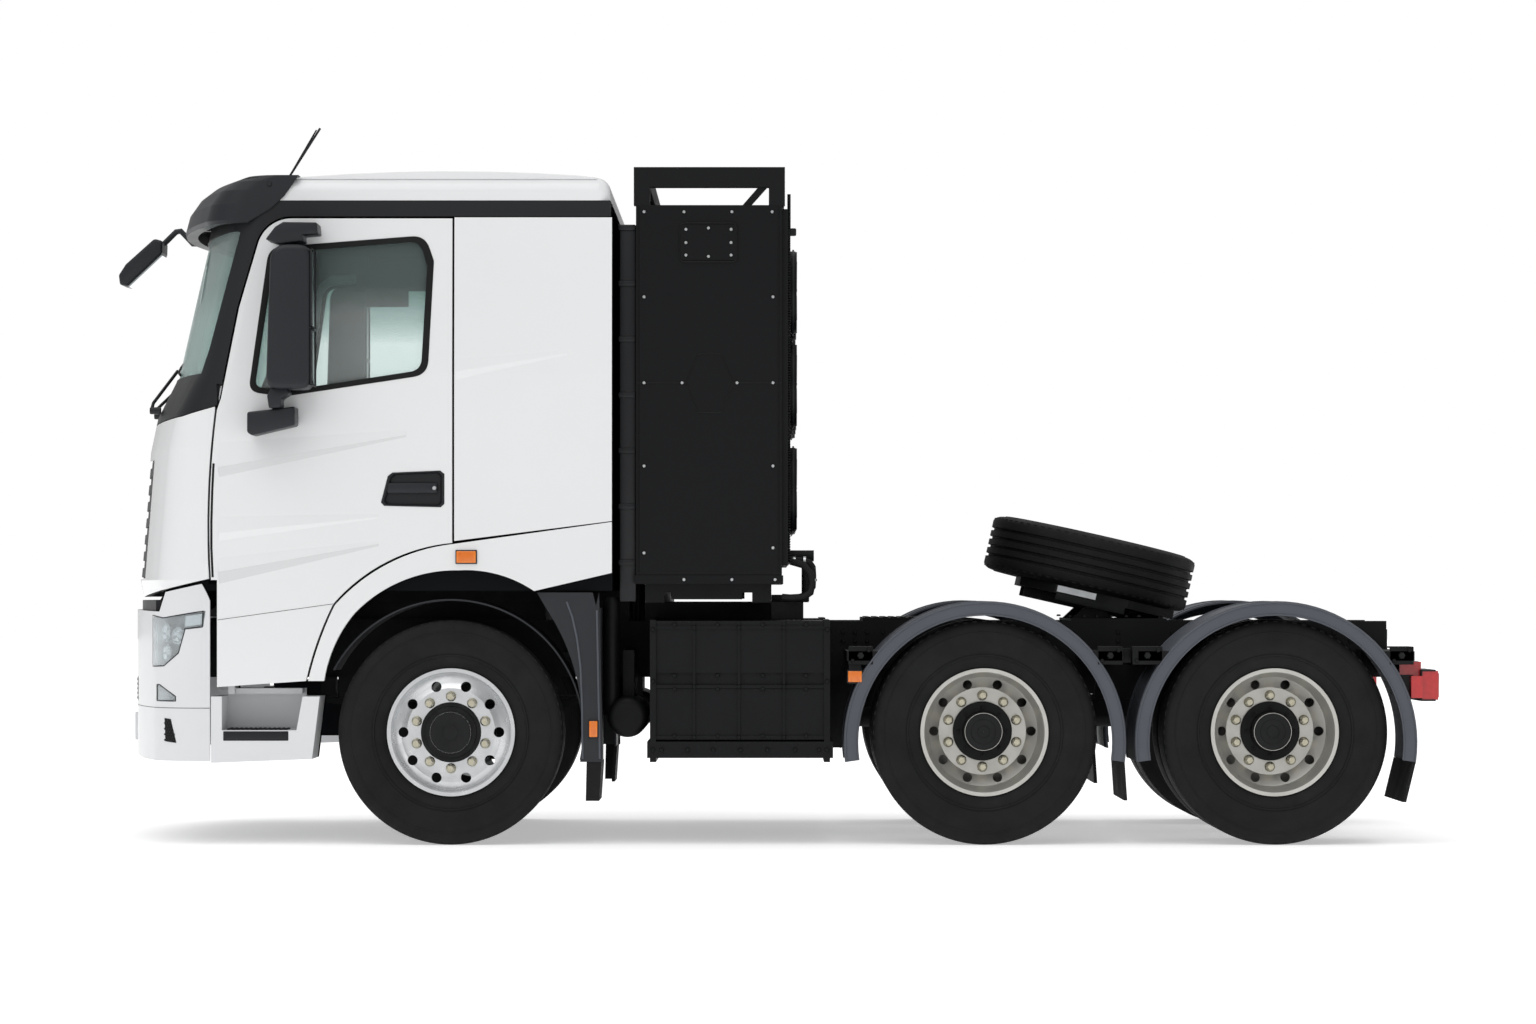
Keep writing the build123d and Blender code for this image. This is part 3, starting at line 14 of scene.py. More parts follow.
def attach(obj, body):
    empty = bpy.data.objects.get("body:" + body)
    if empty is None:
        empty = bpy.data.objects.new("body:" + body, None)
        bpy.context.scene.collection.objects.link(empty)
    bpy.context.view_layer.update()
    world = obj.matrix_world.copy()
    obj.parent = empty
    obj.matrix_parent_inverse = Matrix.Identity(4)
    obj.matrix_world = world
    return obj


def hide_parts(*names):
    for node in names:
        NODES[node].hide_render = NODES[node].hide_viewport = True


bl_info = {
    "name": "Electric semi tractor",
    "version": (1, 0, 0),
    "blender": (4, 5, 0),
    "location": "3D view > Sidebar > Tractor",
    "description": "Finishes and detail pieces of a three-axle electric tractor unit",
    "category": "Object",
}

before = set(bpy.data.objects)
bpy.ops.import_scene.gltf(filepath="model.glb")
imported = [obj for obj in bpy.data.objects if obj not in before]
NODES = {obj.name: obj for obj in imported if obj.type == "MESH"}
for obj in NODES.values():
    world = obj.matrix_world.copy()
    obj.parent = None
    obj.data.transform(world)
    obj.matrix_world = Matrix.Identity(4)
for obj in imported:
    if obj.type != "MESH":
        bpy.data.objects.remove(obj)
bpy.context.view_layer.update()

MM = 0.001
AXLE_1_X = -1.372           # lengths along the truck below are counted from the front axle
AXLE_2, AXLE_3 = 2480, 3830
WHEEL_Z = 522
WHEEL_Y = 1072.5            # middle of the outer tyres
TWIN_SPACING = 335
LEFT, RIGHT = -1, 1         # sign of Y on each side
SIDES = ((LEFT, "left"), (RIGHT, "right"))
CAB_SIDE_Y = 1250
STEP_WELL_Y = 985           # back wall of the step recess
TOWER_Y = 1150
TURNS = 2 * math.pi


def at(x, y, z):
    """Point in metres from millimetres, x counted from the front axle."""
    return Vector((x * MM + AXLE_1_X, y * MM, z * MM))


# ---- finishes -------------------------------------------------------------------------------
# flat black within the skin: sealant underneath and in the arches, and painted shade on the cab's inner faces
UNDERSEAL_AND_SHADE = "#161719"
# painted shade along the top of the glass, standing for the dark inside of the cab seen through it: its
# colour, and the heights in metres between which it comes in
GLASS_PAINTED_SHADE = "#C2D2CF"
SHADE_BAND_HEIGHTS = (2.46, 2.60)
NO_SHADE_BAND = (9.0, 10.0)


def colour_of(code):
    """sRGB hex colour as linear RGBA; a colour that is linear already passes through."""
    if not isinstance(code, str):
        return (*code[:3], 1.0)
    parts = [int(code[i:i + 2], 16) / 255 for i in (1, 3, 5)]
    return (*[c / 12.92 if c <= 0.04045 else ((c + 0.055) / 1.055) ** 2.4 for c in parts], 1.0)


def add_node(tree, kind, links=(), **settings):
    """A node with its settings, and its inputs joined to sockets or given values."""
    made = tree.nodes.new(kind)
    for key, value in settings.items():
        setattr(made, key, value)
    for key, value in dict(links).items():
        if isinstance(value, bpy.types.NodeSocket):
            tree.links.new(value, made.inputs[key])
        else:
            made.inputs[key].default_value = value
    return made


def new_material(name):
    """Material with its tree, its shader and the place that patterns are laid out on."""
    material = bpy.data.materials.new(name)
    material.use_nodes = True
    tree = material.node_tree
    place = add_node(tree, "ShaderNodeTexCoord").outputs["Object"]
    return material, tree, tree.nodes["Principled BSDF"], place


def surface(name, light, dark, rough, rough_spread, patch, grain, relief, metal=0.0, coat=0.0, ior=1.5,
            underseal=None):
    """Material whose colour drifts between two tones over patches, with a fine grain in its relief.

    patch and grain are the sizes in millimetres of the drift and the grain, relief its depth.
    underseal is the half width within which flat black covers the finish: sealant on the underside and in the
    arches, and on the cab also painted shade on the inner faces seen through the windows.
    """
    material, tree, shader, place = new_material(name)
    drift = add_node(tree, "ShaderNodeTexNoise", {"Vector": place, "Scale": 1 / (patch * MM),
                                                  "Detail": 4.0, "Roughness": 0.6}).outputs["Fac"]
    fine = add_node(tree, "ShaderNodeTexNoise", {"Vector": place, "Scale": 1 / (grain * MM),
                                                 "Detail": 2.0}).outputs["Fac"]
    tone = add_node(tree, "ShaderNodeMix", {0: drift, 6: colour_of(light), 7: colour_of(dark)},
                    data_type="RGBA").outputs[2]
    blur = add_node(tree, "ShaderNodeMapRange", {"Value": drift, "From Min": 0.3, "From Max": 0.7,
                                                 "To Min": rough - rough_spread / 2,
                                                 "To Max": rough + rough_spread / 2}).outputs[0]
    bump = add_node(tree, "ShaderNodeBump", {"Height": fine, "Distance": relief * MM,
                                             "Strength": 1.0}).outputs[0]
    # flat black inside the half width: sealant underneath, and on the cab also painted shade on the inner
    # faces
    if underseal:
        y = add_node(tree, "ShaderNodeSeparateXYZ", {"Vector": place}).outputs["Y"]
        y = add_node(tree, "ShaderNodeMath", {0: y}, operation="ABSOLUTE").outputs[0]
        underseal_and_shade_mask = add_node(tree, "ShaderNodeMath", {0: y, 1: underseal * MM},
                           operation="LESS_THAN").outputs[0]
        tone = add_node(tree, "ShaderNodeMix", {0: underseal_and_shade_mask, 6: tone, 7: colour_of(UNDERSEAL_AND_SHADE)},
                        data_type="RGBA").outputs[2]
        underseal_and_shade_bsdf = add_node(tree, "ShaderNodeBsdfDiffuse", {"Color": colour_of(UNDERSEAL_AND_SHADE)}).outputs[0]
        mixed = add_node(tree, "ShaderNodeMixShader", {0: underseal_and_shade_mask, 1: shader.outputs[0],
                                                       2: underseal_and_shade_bsdf}).outputs[0]
        tree.links.new(mixed, tree.nodes["Material Output"].inputs["Surface"])
    tree.links.new(tone, shader.inputs["Base Color"])
    tree.links.new(blur, shader.inputs["Roughness"])
    tree.links.new(bump, shader.inputs["Normal"])
    shader.inputs["Metallic"].default_value = metal
    shader.inputs["Coat Weight"].default_value = coat
    shader.inputs["Coat Roughness"].default_value = 0.06
    if not metal:
        shader.inputs["IOR"].default_value = ior
    return material


def tinted_glass(name, tint, band=NO_SHADE_BAND):
    """Glass seen through by its tint, mirroring a little more at a glance, with painted shade along its top.
    """
    material, tree, shader, place = new_material(name)
    streak = add_node(tree, "ShaderNodeTexNoise", {"Vector": place, "Scale": 1 / (180 * MM)}).outputs["Fac"]
    # painted shade: the tint darkens towards the glass's top, between the heights in band
    height = add_node(tree, "ShaderNodeSeparateXYZ", {"Vector": place}).outputs["Z"]
    upper = add_node(tree, "ShaderNodeMapRange", {"Value": height, "From Min": band[0],
                                                  "From Max": band[1]}).outputs[0]
    shade = add_node(tree, "ShaderNodeMix", {0: upper, 6: colour_of(tint), 7: colour_of(GLASS_PAINTED_SHADE)},
                     data_type="RGBA").outputs[2]
    see = add_node(tree, "ShaderNodeBsdfTransparent", {"Color": shade}).outputs[0]
    blur = add_node(tree, "ShaderNodeMapRange", {"Value": streak, "To Min": 0.02, "To Max": 0.06}).outputs[0]
    tree.links.new(blur, shader.inputs["Roughness"])
    tree.links.new(shade, shader.inputs["Base Color"])
    shader.inputs["Specular IOR Level"].default_value = 0.8
    glance = add_node(tree, "ShaderNodeLayerWeight", {"Blend": 0.25}).outputs["Facing"]
    amount = add_node(tree, "ShaderNodeMapRange", {"Value": glance, "To Min": 0.12, "To Max": 0.6}).outputs[0]
    mixed = add_node(tree, "ShaderNodeMixShader", {0: amount, 1: see, 2: shader.outputs[0]}).outputs[0]
    tree.links.new(mixed, tree.nodes["Material Output"].inputs["Surface"])
    return material


def make_finishes(colours):
    """Every finish on the truck, kept in FINISH by its own name."""

    def shades(colour, light, dark):
        return [channel * light for channel in colour], [channel * dark for channel in colour]

    enamel = (*shades(colours.enamel, 1, 0.94), 0.30, 0.06, 900, 7, 0.02)
    guard = (0.55, 0.14, 320, 5, 0.12, {"ior": 1.4})
    pressing = ("#E0E1E3", "#D6D8DA", 0.36, 0.08, 500, 6, 0.03)
    clear = {"coat": 0.6}
    metal = {"metal": 1.0}
    # name, light and dark tone, roughness, its spread, patch, grain, relief, and what else surface() takes
    rows = (
        # sprayed acrylic enamel under lacquer: even white, a broad clean highlight, faint orange peel
        ("acrylic_enamel_white", *enamel, clear),
        # the same enamel darkened as painted shade under the pressed lines, and duller
        ("acrylic_enamel_painted_shade", *shades(colours.enamel, 0.84, 0.8), 0.5, 0.06, 900, 7, 0.02, {}),
        # the same enamel on pieces whose inner and lower faces are flat black: sealant under the cab and in
        # its arches, and painted shade on the cab's inner faces seen through the windows
        ("acrylic_enamel_underseal_and_shade", *enamel, clear | {"underseal": CAB_SIDE_Y - 34}),
        # painted pressed steel of the bumper: the same white, a little greyer and duller
        ("painted_steel_pale", *pressing, {"coat": 0.35}),
        # the same steel of the steps, flat black on its inner walls behind the recess
        ("painted_steel_black_inside", *pressing, {"coat": 0.35, "underseal": STEP_WELL_Y}),
        # injection-moulded ASA, polished tool: deep graphite with a soft highlight
        ("moulded_asa_graphite", "#1F2227", "#191C20", 0.44, 0.10, 300, 3, 0.02, {"ior": 1.4}),
        # moulded ABS surround, spark-eroded tool: near black, fine grain
        ("moulded_abs_black", "#1B1D20", "#151618", 0.45, 0.10, 250, 1.6, 0.05, {"ior": 1.38}),
        # moulded polypropylene guards: dark grey lightened on the rear fenders as painted light, leathery
        # grain drawn at 5 mm so that it shows
        ("polypropylene_painted_light", *shades(colours.guards, 1.7, 1.4), *guard),
        # the front guards: the same plastic darkened as painted shade
        ("polypropylene_painted_shade", *shades(colours.guards, 0.4, 0.32), *guard),
        # powder coat on frame steel: satin black with a fine orange peel and dusty patches
        ("powder_coat_black", *shades(colours.frame_coat, 1, 0.7), 0.5, 0.16, 260, 4, 0.06, {"ior": 1.28}),
        # powder coat on folded sheet of the battery cabinet: a trace of blue in the black
        ("powder_coat_cabinet", *shades(colours.cabinet, 1, 0.75), 0.46, 0.10, 700, 3, 0.04, {"ior": 1.26}),
        # cast iron, sand cast and painted: coarse skin drawn at 3 mm
        ("cast_iron_painted", "#1D1E1F", "#141516", 0.62, 0.16, 150, 3, 0.25, {"ior": 1.3}),
        # vulcanised carbon-black rubber: dull, slightly brown, mould bloom in patches
        ("vulcanised_rubber", "#181819", "#111112", 0.66, 0.16, 140, 1.5, 0.06, {"ior": 1.3}),
        # forged aluminium turned on a lathe: bright, with a fine turned grain
        ("forged_aluminium", "#D9DADB", "#C2C4C6", 0.30, 0.12, 90, 1.2, 0.02, metal),
        # silver enamel on pressed wheel steel: warm grey metal flake
        ("silver_enamel_steel", "#D2D1CC", "#B9B7B0", 0.36, 0.12, 120, 1.0, 0.02, {"metal": 0.7}),
        # zinc-plated steel of nuts and screws: pale, slightly yellow passivation
        ("zinc_plated_steel", "#CFCBB8", "#AFA992", 0.32, 0.2, 14, 0.8, 0.02, metal),
        # polished steel screw heads
        ("stainless_steel", "#D5D7D8", "#B7B9BB", 0.30, 0.14, 12, 0.7, 0.01, metal),
        # chromed reflector bowls: vacuum metal on plastic
        ("vacuum_metallised_plastic", "#E4E6E8", "#D0D3D6", 0.16, 0.08, 60, 2.0, 0.01, metal),
        # moulded acrylic lenses
        ("moulded_acrylic_amber", "#F08A1C", "#D8660C", 0.22, 0.08, 25, 3, 0.12, clear),
        ("moulded_acrylic_red", "#C8141A", "#96090E", 0.22, 0.08, 25, 3, 0.12, clear),
        ("moulded_acrylic_white", "#F4F6F7", "#DDE1E4", 0.20, 0.08, 25, 3, 0.08, clear),
        # woven polyester seat cloth: matt, 2 mm weave drawn at 4 mm
        ("woven_polyester_charcoal", "#1C1D20", "#141517", 0.85, 0.1, 60, 4, 0.5, {}),
        # soft-touch polyurethane of the dashboard
        ("soft_touch_polyurethane", "#33363A", "#2A2C30", 0.7, 0.1, 200, 2, 0.15, {}),
        # silvered mirror glass
        ("silvered_mirror_glass", "#DDE2E4", "#CDD3D6", 0.04, 0.02, 200, 40, 0.001, metal),
        # bright anodised label plate, left blank
        ("anodised_aluminium", "#C9CCCE", "#B3B6B8", 0.4, 0.1, 30, 1.0, 0.02, metal),
    )
    for name, *look, extra in rows:
        FINISH[name] = surface(name, *look, **extra)
    for name, *look in (("tinted_toughened_glass", "#F9FEFD", SHADE_BAND_HEIGHTS),
                        ("tinted_laminated_glass", "#D2E2DF", SHADE_BAND_HEIGHTS),
                        ("clear_polycarbonate", "#F3F6F7")):
        FINISH[name] = tinted_glass(name, *look)


FINISH = {}

NODE_FINISHES = {
    "acrylic_enamel_white": ("cab_roof", "door_left", "door_right", "front_panel"),
    "acrylic_enamel_underseal_and_shade": ("cab_shell", "arch_panels"),
    "painted_steel_pale": ("front_bumper",),
    "painted_steel_black_inside": ("entry_steps",),
    "moulded_asa_graphite": ("sun_visor", "mirror_left", "mirror_right", "front_view_mirror"),
    "moulded_abs_black": ("windscreen_surround", "wipers", "steering_wheel", "aerial"),
    "polypropylene_painted_light": ("rear_fenders",),
    "polypropylene_painted_shade": ("front_mudguards",),
    "powder_coat_black": ("frame_rails", "power_electronics", "leaf_springs", "side_battery_boxes",
                          "air_tanks", "cabinet_frame", "fifth_wheel_base", "track_rod", "knuckle_left",
                          "knuckle_right", "cooling_unit"),
    "powder_coat_cabinet": ("battery_cabinet",),
    "cast_iron_painted": ("axles", "fifth_wheel_plate", "drive_motor"),
    "vulcanised_rubber": ("mudflaps",),
    "forged_aluminium": ("front_rim_left", "front_rim_right"),
    "silver_enamel_steel": ("mid_rims_left", "mid_rims_right", "rear_rims_left", "rear_rims_right",
                            "spare_rim"),
    "soft_touch_polyurethane": ("dashboard",),
    "tinted_laminated_glass": ("windscreen",),
    "tinted_toughened_glass": ("door_glass_left", "door_glass_right"),
    "moulded_acrylic_red": ("tail_lamps",),
}


# ---- making and finishing pieces ------------------------------------------------------------
def as_object(name, data):
    """An object at the origin that holds a mesh, a lamp or a camera."""
    made = bpy.data.objects.new(name, data)
    bpy.context.scene.collection.objects.link(made)
    return made


def finished(made, finish, body, replaces=(), smooth=35):
    """Give a piece its finish, soft shading below an angle, and the body that it rides."""
    made.data.materials.clear()
    made.data.materials.append(FINISH[finish])
    made.data.shade_smooth()
    made.data.set_sharp_from_angle(angle=math.radians(smooth))
    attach(made, body)
    if replaces:
        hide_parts(*replaces)
    return made


def applied(made):
    """Turn an object's live modifiers into its plain mesh."""
    bpy.context.view_layer.update()
    graph = bpy.context.evaluated_depsgraph_get()
    mesh = bpy.data.meshes.new_from_object(made.evaluated_get(graph))
    made.modifiers.clear()
    made.data = mesh
    return made


def from_bmesh(name, bm, outward=True):
    """An object from a bmesh, which is freed, its faces turned outwards if asked."""
    if outward:
        bmesh.ops.recalc_face_normals(bm, faces=bm.faces)
    mesh = bpy.data.meshes.new(name)
    bm.to_mesh(mesh)
    bm.free()
    return as_object(name, mesh)


def bevelled(made, width, segments=2):
    """Round the edges of a piece by a width in millimetres."""
    modifier = made.modifiers.new("edges", "BEVEL")
    modifier.width, modifier.segments = width * MM, segments
    modifier.limit_method, modifier.angle_limit = "ANGLE", math.radians(40)
    return applied(made)


def walled(made, thickness):
    """Give a skin a thickness in millimetres, inwards."""
    modifier = made.modifiers.new("wall", "SOLIDIFY")
    modifier.thickness, modifier.offset = thickness * MM, -1
    return applied(made)


def absorb(bm, made):
    """Take a loose object's mesh into a bmesh and drop the object."""
    mesh = made.data
    bm.from_mesh(mesh)
    bpy.data.objects.remove(made)
    bpy.data.meshes.remove(mesh)


def beside(side, near, far):
    """(low, high) pair of Y between two distances from the middle, on one side."""
    return tuple(sorted((side * near, side * far)))


def add_box(bm, x, y, z):
    """Box between (low, high) pairs in millimetres."""
    low, high = at(x[0], y[0], z[0]), at(x[1], y[1], z[1])
    size = [abs(s) for s in high - low]
    place = Matrix.Translation((low + high) / 2) @ Matrix.Diagonal((*size, 1))
    bmesh.ops.create_cube(bm, size=1, matrix=place)


def boxed(name, boxes, edge=0, segments=2):
    """Boxes, each (x, y, z) in (low, high) pairs, with edges rounded by a width in millimetres."""
    bm = bmesh.new()
    for box in boxes:
        add_box(bm, *box)
    made = from_bmesh(name, bm)
    return bevelled(made, edge, segments) if edge else made


def blocks(name, boxes, finish, body, edge=0, segments=2):
    """Finished piece of boxes."""
    return finished(boxed(name, boxes, edge, segments), finish, body)


def bridge(bm, near, far):
    """Faces between two closed rings of vertices."""
    for k in range(len(near)):
        m = (k + 1) % len(near)
        bm.faces.new((near[k], near[m], far[m], far[k]))


def add_loft(bm, rings):
    """Capped skin through rings of vertices."""
    for near, far in zip(rings, rings[1:]):
        bridge(bm, near, far)
    bm.faces.new(rings[0])
    bm.faces.new(list(reversed(rings[-1])))


def add_prism(bm, outline, y0, y1):
    """Side-view outline of (x, z) points in millimetres, from y0 to y1."""
    add_loft(bm, [[bm.verts.new(at(x, y, z)) for x, z in outline] for y in (y0, y1)])


def add_lathe(bm, profile, centre, axis="Y", steps=96):
    """Turn a closed profile of (radius, along) points in millimetres about an axis through centre."""
    rings = []
    for k in range(steps):
        a = TURNS * k / steps
        ring = []
        for r, along in profile:
            u, v = r * math.cos(a), r * math.sin(a)
            offset = {"Y": (u, along, v), "X": (along, u, v), "Z": (u, v, along)}[axis]
            ring.append(bm.verts.new(at(*[c + o for c, o in zip(centre, offset)])))
        rings.append(ring)
    for k in range(steps):
        bridge(bm, rings[k], rings[(k + 1) % steps])


# ---- repeated detail ------------------------------------------------------------------------
def new_tree(name, inputs):
    """Node tree with a geometry input and output and named inputs, and the sockets that they come from."""
    tree = bpy.data.node_groups.new(name, "GeometryNodeTree")
    tree.interface.new_socket("Geometry", in_out="INPUT", socket_type="NodeSocketGeometry")
    for label, kind in (*inputs, ("Finish", "Material")):
        tree.interface.new_socket(label, in_out="INPUT", socket_type="NodeSocket" + kind)
    tree.interface.new_socket("Geometry", in_out="OUTPUT", socket_type="NodeSocketGeometry")
    return tree, add_node(tree, "NodeGroupInput").outputs


def close_tree(tree, geometry, given):
    """End a tree with real geometry in its finish."""
    solid = add_node(tree, "GeometryNodeRealizeInstances", {"Geometry": geometry}).outputs[0]
    solid = add_node(tree, "GeometryNodeSetMaterial", {"Geometry": solid,
                                                       "Material": given["Finish"]}).outputs[0]
    add_node(tree, "NodeGroupOutput", {"Geometry": solid})
    return tree


def heads_tree():
    """A fastener head on each vertex, pointing along the vertex's own facing."""
    tree, given = new_tree("fastener_heads", (("Radius", "Float"), ("Height", "Float"), ("Sides", "Int")))
    crown = add_node(tree, "ShaderNodeMath", {0: given["Radius"], 1: 0.78}, operation="MULTIPLY").outputs[0]
    head = add_node(tree, "GeometryNodeMeshCone", {"Vertices": given["Sides"], "Radius Top": crown,
                                                   "Radius Bottom": given["Radius"],
                                                   "Depth": given["Height"]}).outputs["Mesh"]
    facing = add_node(tree, "GeometryNodeInputNamedAttribute", {"Name": "facing"},
                      data_type="FLOAT_VECTOR").outputs[0]
    turn = add_node(tree, "FunctionNodeAlignRotationToVector", {"Vector": facing}, axis="Z").outputs[0]
    placed = add_node(tree, "GeometryNodeInstanceOnPoints", {"Points": given["Geometry"], "Instance": head,
                                                             "Rotation": turn}).outputs[0]
    return close_tree(tree, placed, given)


def sweep_tree():
    """A rectangular or round strip that follows the source's edges."""
    tree, given = new_tree("swept_strip", (("Width", "Float"), ("Sides", "Int")))
    path = add_node(tree, "GeometryNodeMeshToCurve", {"Mesh": given["Geometry"]}).outputs[0]
    section = add_node(tree, "GeometryNodeCurvePrimitiveCircle", {"Resolution": given["Sides"],
                                                                  "Radius": given["Width"]}).outputs[0]
    strip = add_node(tree, "GeometryNodeCurveToMesh", {"Curve": path, "Profile Curve": section,
                                                       "Fill Caps": True}).outputs[0]
    return close_tree(tree, strip, given)


def row_tree():
    """A copy of the source at every step of a row."""
    tree, given = new_tree("row_of_copies", (("Count", "Int"), ("Step", "Vector")))
    line = add_node(tree, "GeometryNodeMeshLine", {"Count": given["Count"],
                                                   "Offset": given["Step"]}).outputs[0]
    placed = add_node(tree, "GeometryNodeInstanceOnPoints", {"Points": line,
                                                             "Instance": given["Geometry"]}).outputs[0]
    return close_tree(tree, placed, given)


def wheel_tree():
    """Copies of the source turned evenly about a wheel's axle."""
    tree, given = new_tree("round_the_axle", (("Count", "Int"), ("Axle", "Vector"), ("Back", "Vector")))
    home = add_node(tree, "GeometryNodeTransform", {"Geometry": given["Geometry"],
                                                    "Translation": given["Back"]}).outputs[0]
    points = add_node(tree, "GeometryNodeMeshLine", {"Count": given["Count"], "Offset": (0, 0, 0)}).outputs[0]
    index = add_node(tree, "GeometryNodeInputIndex").outputs[0]
    share = add_node(tree, "ShaderNodeMath", {0: index, 1: given["Count"]}, operation="DIVIDE").outputs[0]
    angle = add_node(tree, "ShaderNodeMath", {0: share, 1: TURNS}, operation="MULTIPLY").outputs[0]
    turn = add_node(tree, "ShaderNodeCombineXYZ", {"Y": angle}).outputs[0]
    placed = add_node(tree, "GeometryNodeInstanceOnPoints", {"Points": points, "Instance": home,
                                                             "Rotation": turn}).outputs[0]
    placed = add_node(tree, "GeometryNodeRealizeInstances", {"Geometry": placed}).outputs[0]
    placed = add_node(tree, "GeometryNodeTransform", {"Geometry": placed,
                                                      "Translation": given["Axle"]}).outputs[0]
    return close_tree(tree, placed, given)


TREES = {"heads": heads_tree(), "sweep": sweep_tree(), "row": row_tree(), "wheel": wheel_tree()}


def grown(source, tree_name, finish, **values):
    """Run one of the trees on an object and keep its result as the object's plain mesh."""
    tree = TREES[tree_name]
    modifier = source.modifiers.new(tree_name, "NODES")
    modifier.node_group = tree
    values["Finish"] = FINISH[finish]
    for item in tree.interface.items_tree:
        if item.in_out == "INPUT" and item.name in values:
            modifier[item.identifier] = values[item.name]
    return applied(source)


def fasteners(name, rows, body, radius, height, sides=6, finish="zinc_plated_steel"):
    """Heads at (x, y, z) points in millimetres, each with the direction that it faces."""
    mesh = bpy.data.meshes.new(name)
    mesh.from_pydata([at(*spot) for spot, _ in rows], [], [])
    facing = mesh.attributes.new("facing", "FLOAT_VECTOR", "POINT")
    for i, (_, direction) in enumerate(rows):
        facing.data[i].vector = direction
    made = grown(as_object(name, mesh), "heads", finish, Radius=radius * MM, Height=height * MM, Sides=sides)
    if "facing" in made.data.attributes:
        made.data.attributes.remove(made.data.attributes["facing"])
    return finished(made, finish, body, smooth=25)


def strips(name, paths, body, radius, finish, sides=8):
    """Strips that follow paths of (x, y, z) points in millimetres."""
    points, edges = [], []
    for path in paths:
        first = len(points)
        points += [at(*p) for p in path]
        edges += [(first + i, first + i + 1) for i in range(len(path) - 1)]
    mesh = bpy.data.meshes.new(name)
    mesh.from_pydata(points, edges, [])
    made = grown(as_object(name, mesh), "sweep", finish, Width=radius * MM, Sides=sides)
    return finished(made, finish, body)


def row(made, finish, body, count, step):
    """Repeat a piece count times, each a step in metres further on."""
    return finished(grown(made, "row", finish, Count=count, Step=step), finish, body)


def rounded(corners, steps=6):
    """(x, z) points round an outline of (x, z, corner radius) rows."""
    points = []
    for i, (x, z, radius) in enumerate(corners):
        here = Vector((x, z))
        before = Vector(corners[i - 1][:2]) - here
        after = Vector(corners[(i + 1) % len(corners)][:2]) - here
        reach = radius / math.tan(before.angle(after) / 2)
        start, end = here + before.normalized() * reach, here + after.normalized() * reach
        for k in range(steps + 1):
            t = k / steps
            spot = start * (1 - t) ** 2 + here * 2 * t * (1 - t) + end * t ** 2
            points.append((spot.x, spot.y))
    return points


# ---- sizes and colours that a user may change -----------------------------------------------
def colour_setting(label, meaning, code):
    return bpy.props.FloatVectorProperty(name=label, description=meaning, subtype="COLOR", min=0, max=1,
                                         default=colour_of(code)[:3])


def length_setting(label, meaning, metres):
    return bpy.props.FloatProperty(name=label, description=meaning, unit="LENGTH", default=metres)


def count_setting(label, meaning, count, low, high):
    return bpy.props.IntProperty(name=label, description=meaning, default=count, min=low, max=high)


class TractorColours(bpy.types.PropertyGroup):
    """Colours of the main finishes."""

    enamel: colour_setting("Cab enamel", "Colour of the cab, doors and roof", "#E9EAEB")
    # the finishes lighten this colour on the rear fenders and darken it on the front guards, as painted light
    # and shade
    guards: colour_setting("Guards", "Colour of the mudguards and rear fenders", "#3F4248")
    cabinet: colour_setting("Cabinet", "Colour of the battery cabinet", "#0E0F11")
    frame_coat: colour_setting("Frame coat", "Colour of the frame's powder coat", "#0F1012")


class TractorSizes(bpy.types.PropertyGroup):
    """Sizes of the small parts."""

    nut_radius: length_setting("Wheel nut radius", "Across the corners of a wheel nut, halved", 0.019)
    nut_count: count_setting("Wheel nuts", "Nuts on each wheel", 10, 4, 16)
    groove_depth: length_setting("Tread depth", "Depth of the tread grooves", 0.013)
    shoulder_lugs: count_setting("Shoulder lugs", "Lugs round each shoulder of a tyre", 72, 24, 120)
    seal_width: length_setting("Window seal", "Width of the rubber round a door window", 0.02)
    slat_count: count_setting("Grille slats", "Slats in the front grille", 7, 3, 12)


class TractorSettings(bpy.types.PropertyGroup):
    """Everything that the panel shows."""

    colours: bpy.props.PointerProperty(type=TractorColours)
    sizes: bpy.props.PointerProperty(type=TractorSizes)


def sizes():
    return bpy.context.scene.tractor.sizes


# ---- finishes of the CAD nodes --------------------------------------------------------------
class TRACTOR_OT_finishes(bpy.types.Operator):
    """Mix every finish and give the CAD nodes theirs"""

    bl_idname = "tractor.finishes"
    bl_label = "Mix the finishes"

    def execute(self, context):
        make_finishes(context.scene.tractor.colours)
        for finish, nodes in NODE_FINISHES.items():
            for name in nodes:
                mesh = NODES[name].data
                mesh.materials.clear()
                mesh.materials.append(FINISH[finish])
        return {"FINISHED"}


# ---- tyres and wheels -----------------------------------------------------------------------
TYRE_RADIUS, TYRE_WIDTH = 522, 295
SPARE_RADIUS, SPARE_WIDTH = 506, 276
RIM_SEAT = 286
SHOULDER = 32               # from the edge of the tread to the sidewall
LUG_LENGTH, LUG_DEPTH = 20, (18, 3.5)
GROOVES = (-0.6, -0.2, 0.2, 0.6)
GROOVE_TOP, GROOVE_FOOT = 8, 5
# the coupling plate's pivot and how far the plate leans back when parked
PLATE_PIVOT, PLATE_TILT = at(3044, 0, 1111), 12.8
PLATE_PLACE = Matrix.Translation(PLATE_PIVOT) @ Matrix.Rotation(math.radians(PLATE_TILT), 4, "Y")
SPARE_PLACE = (PLATE_PLACE @ Matrix.Translation((-0.036, 0, 0.199))
               @ Matrix.Rotation(math.radians(90), 4, "X"))
WHEEL_SETS = (("front", 0, 1), ("mid", AXLE_2, 2), ("rear", AXLE_3, 2))
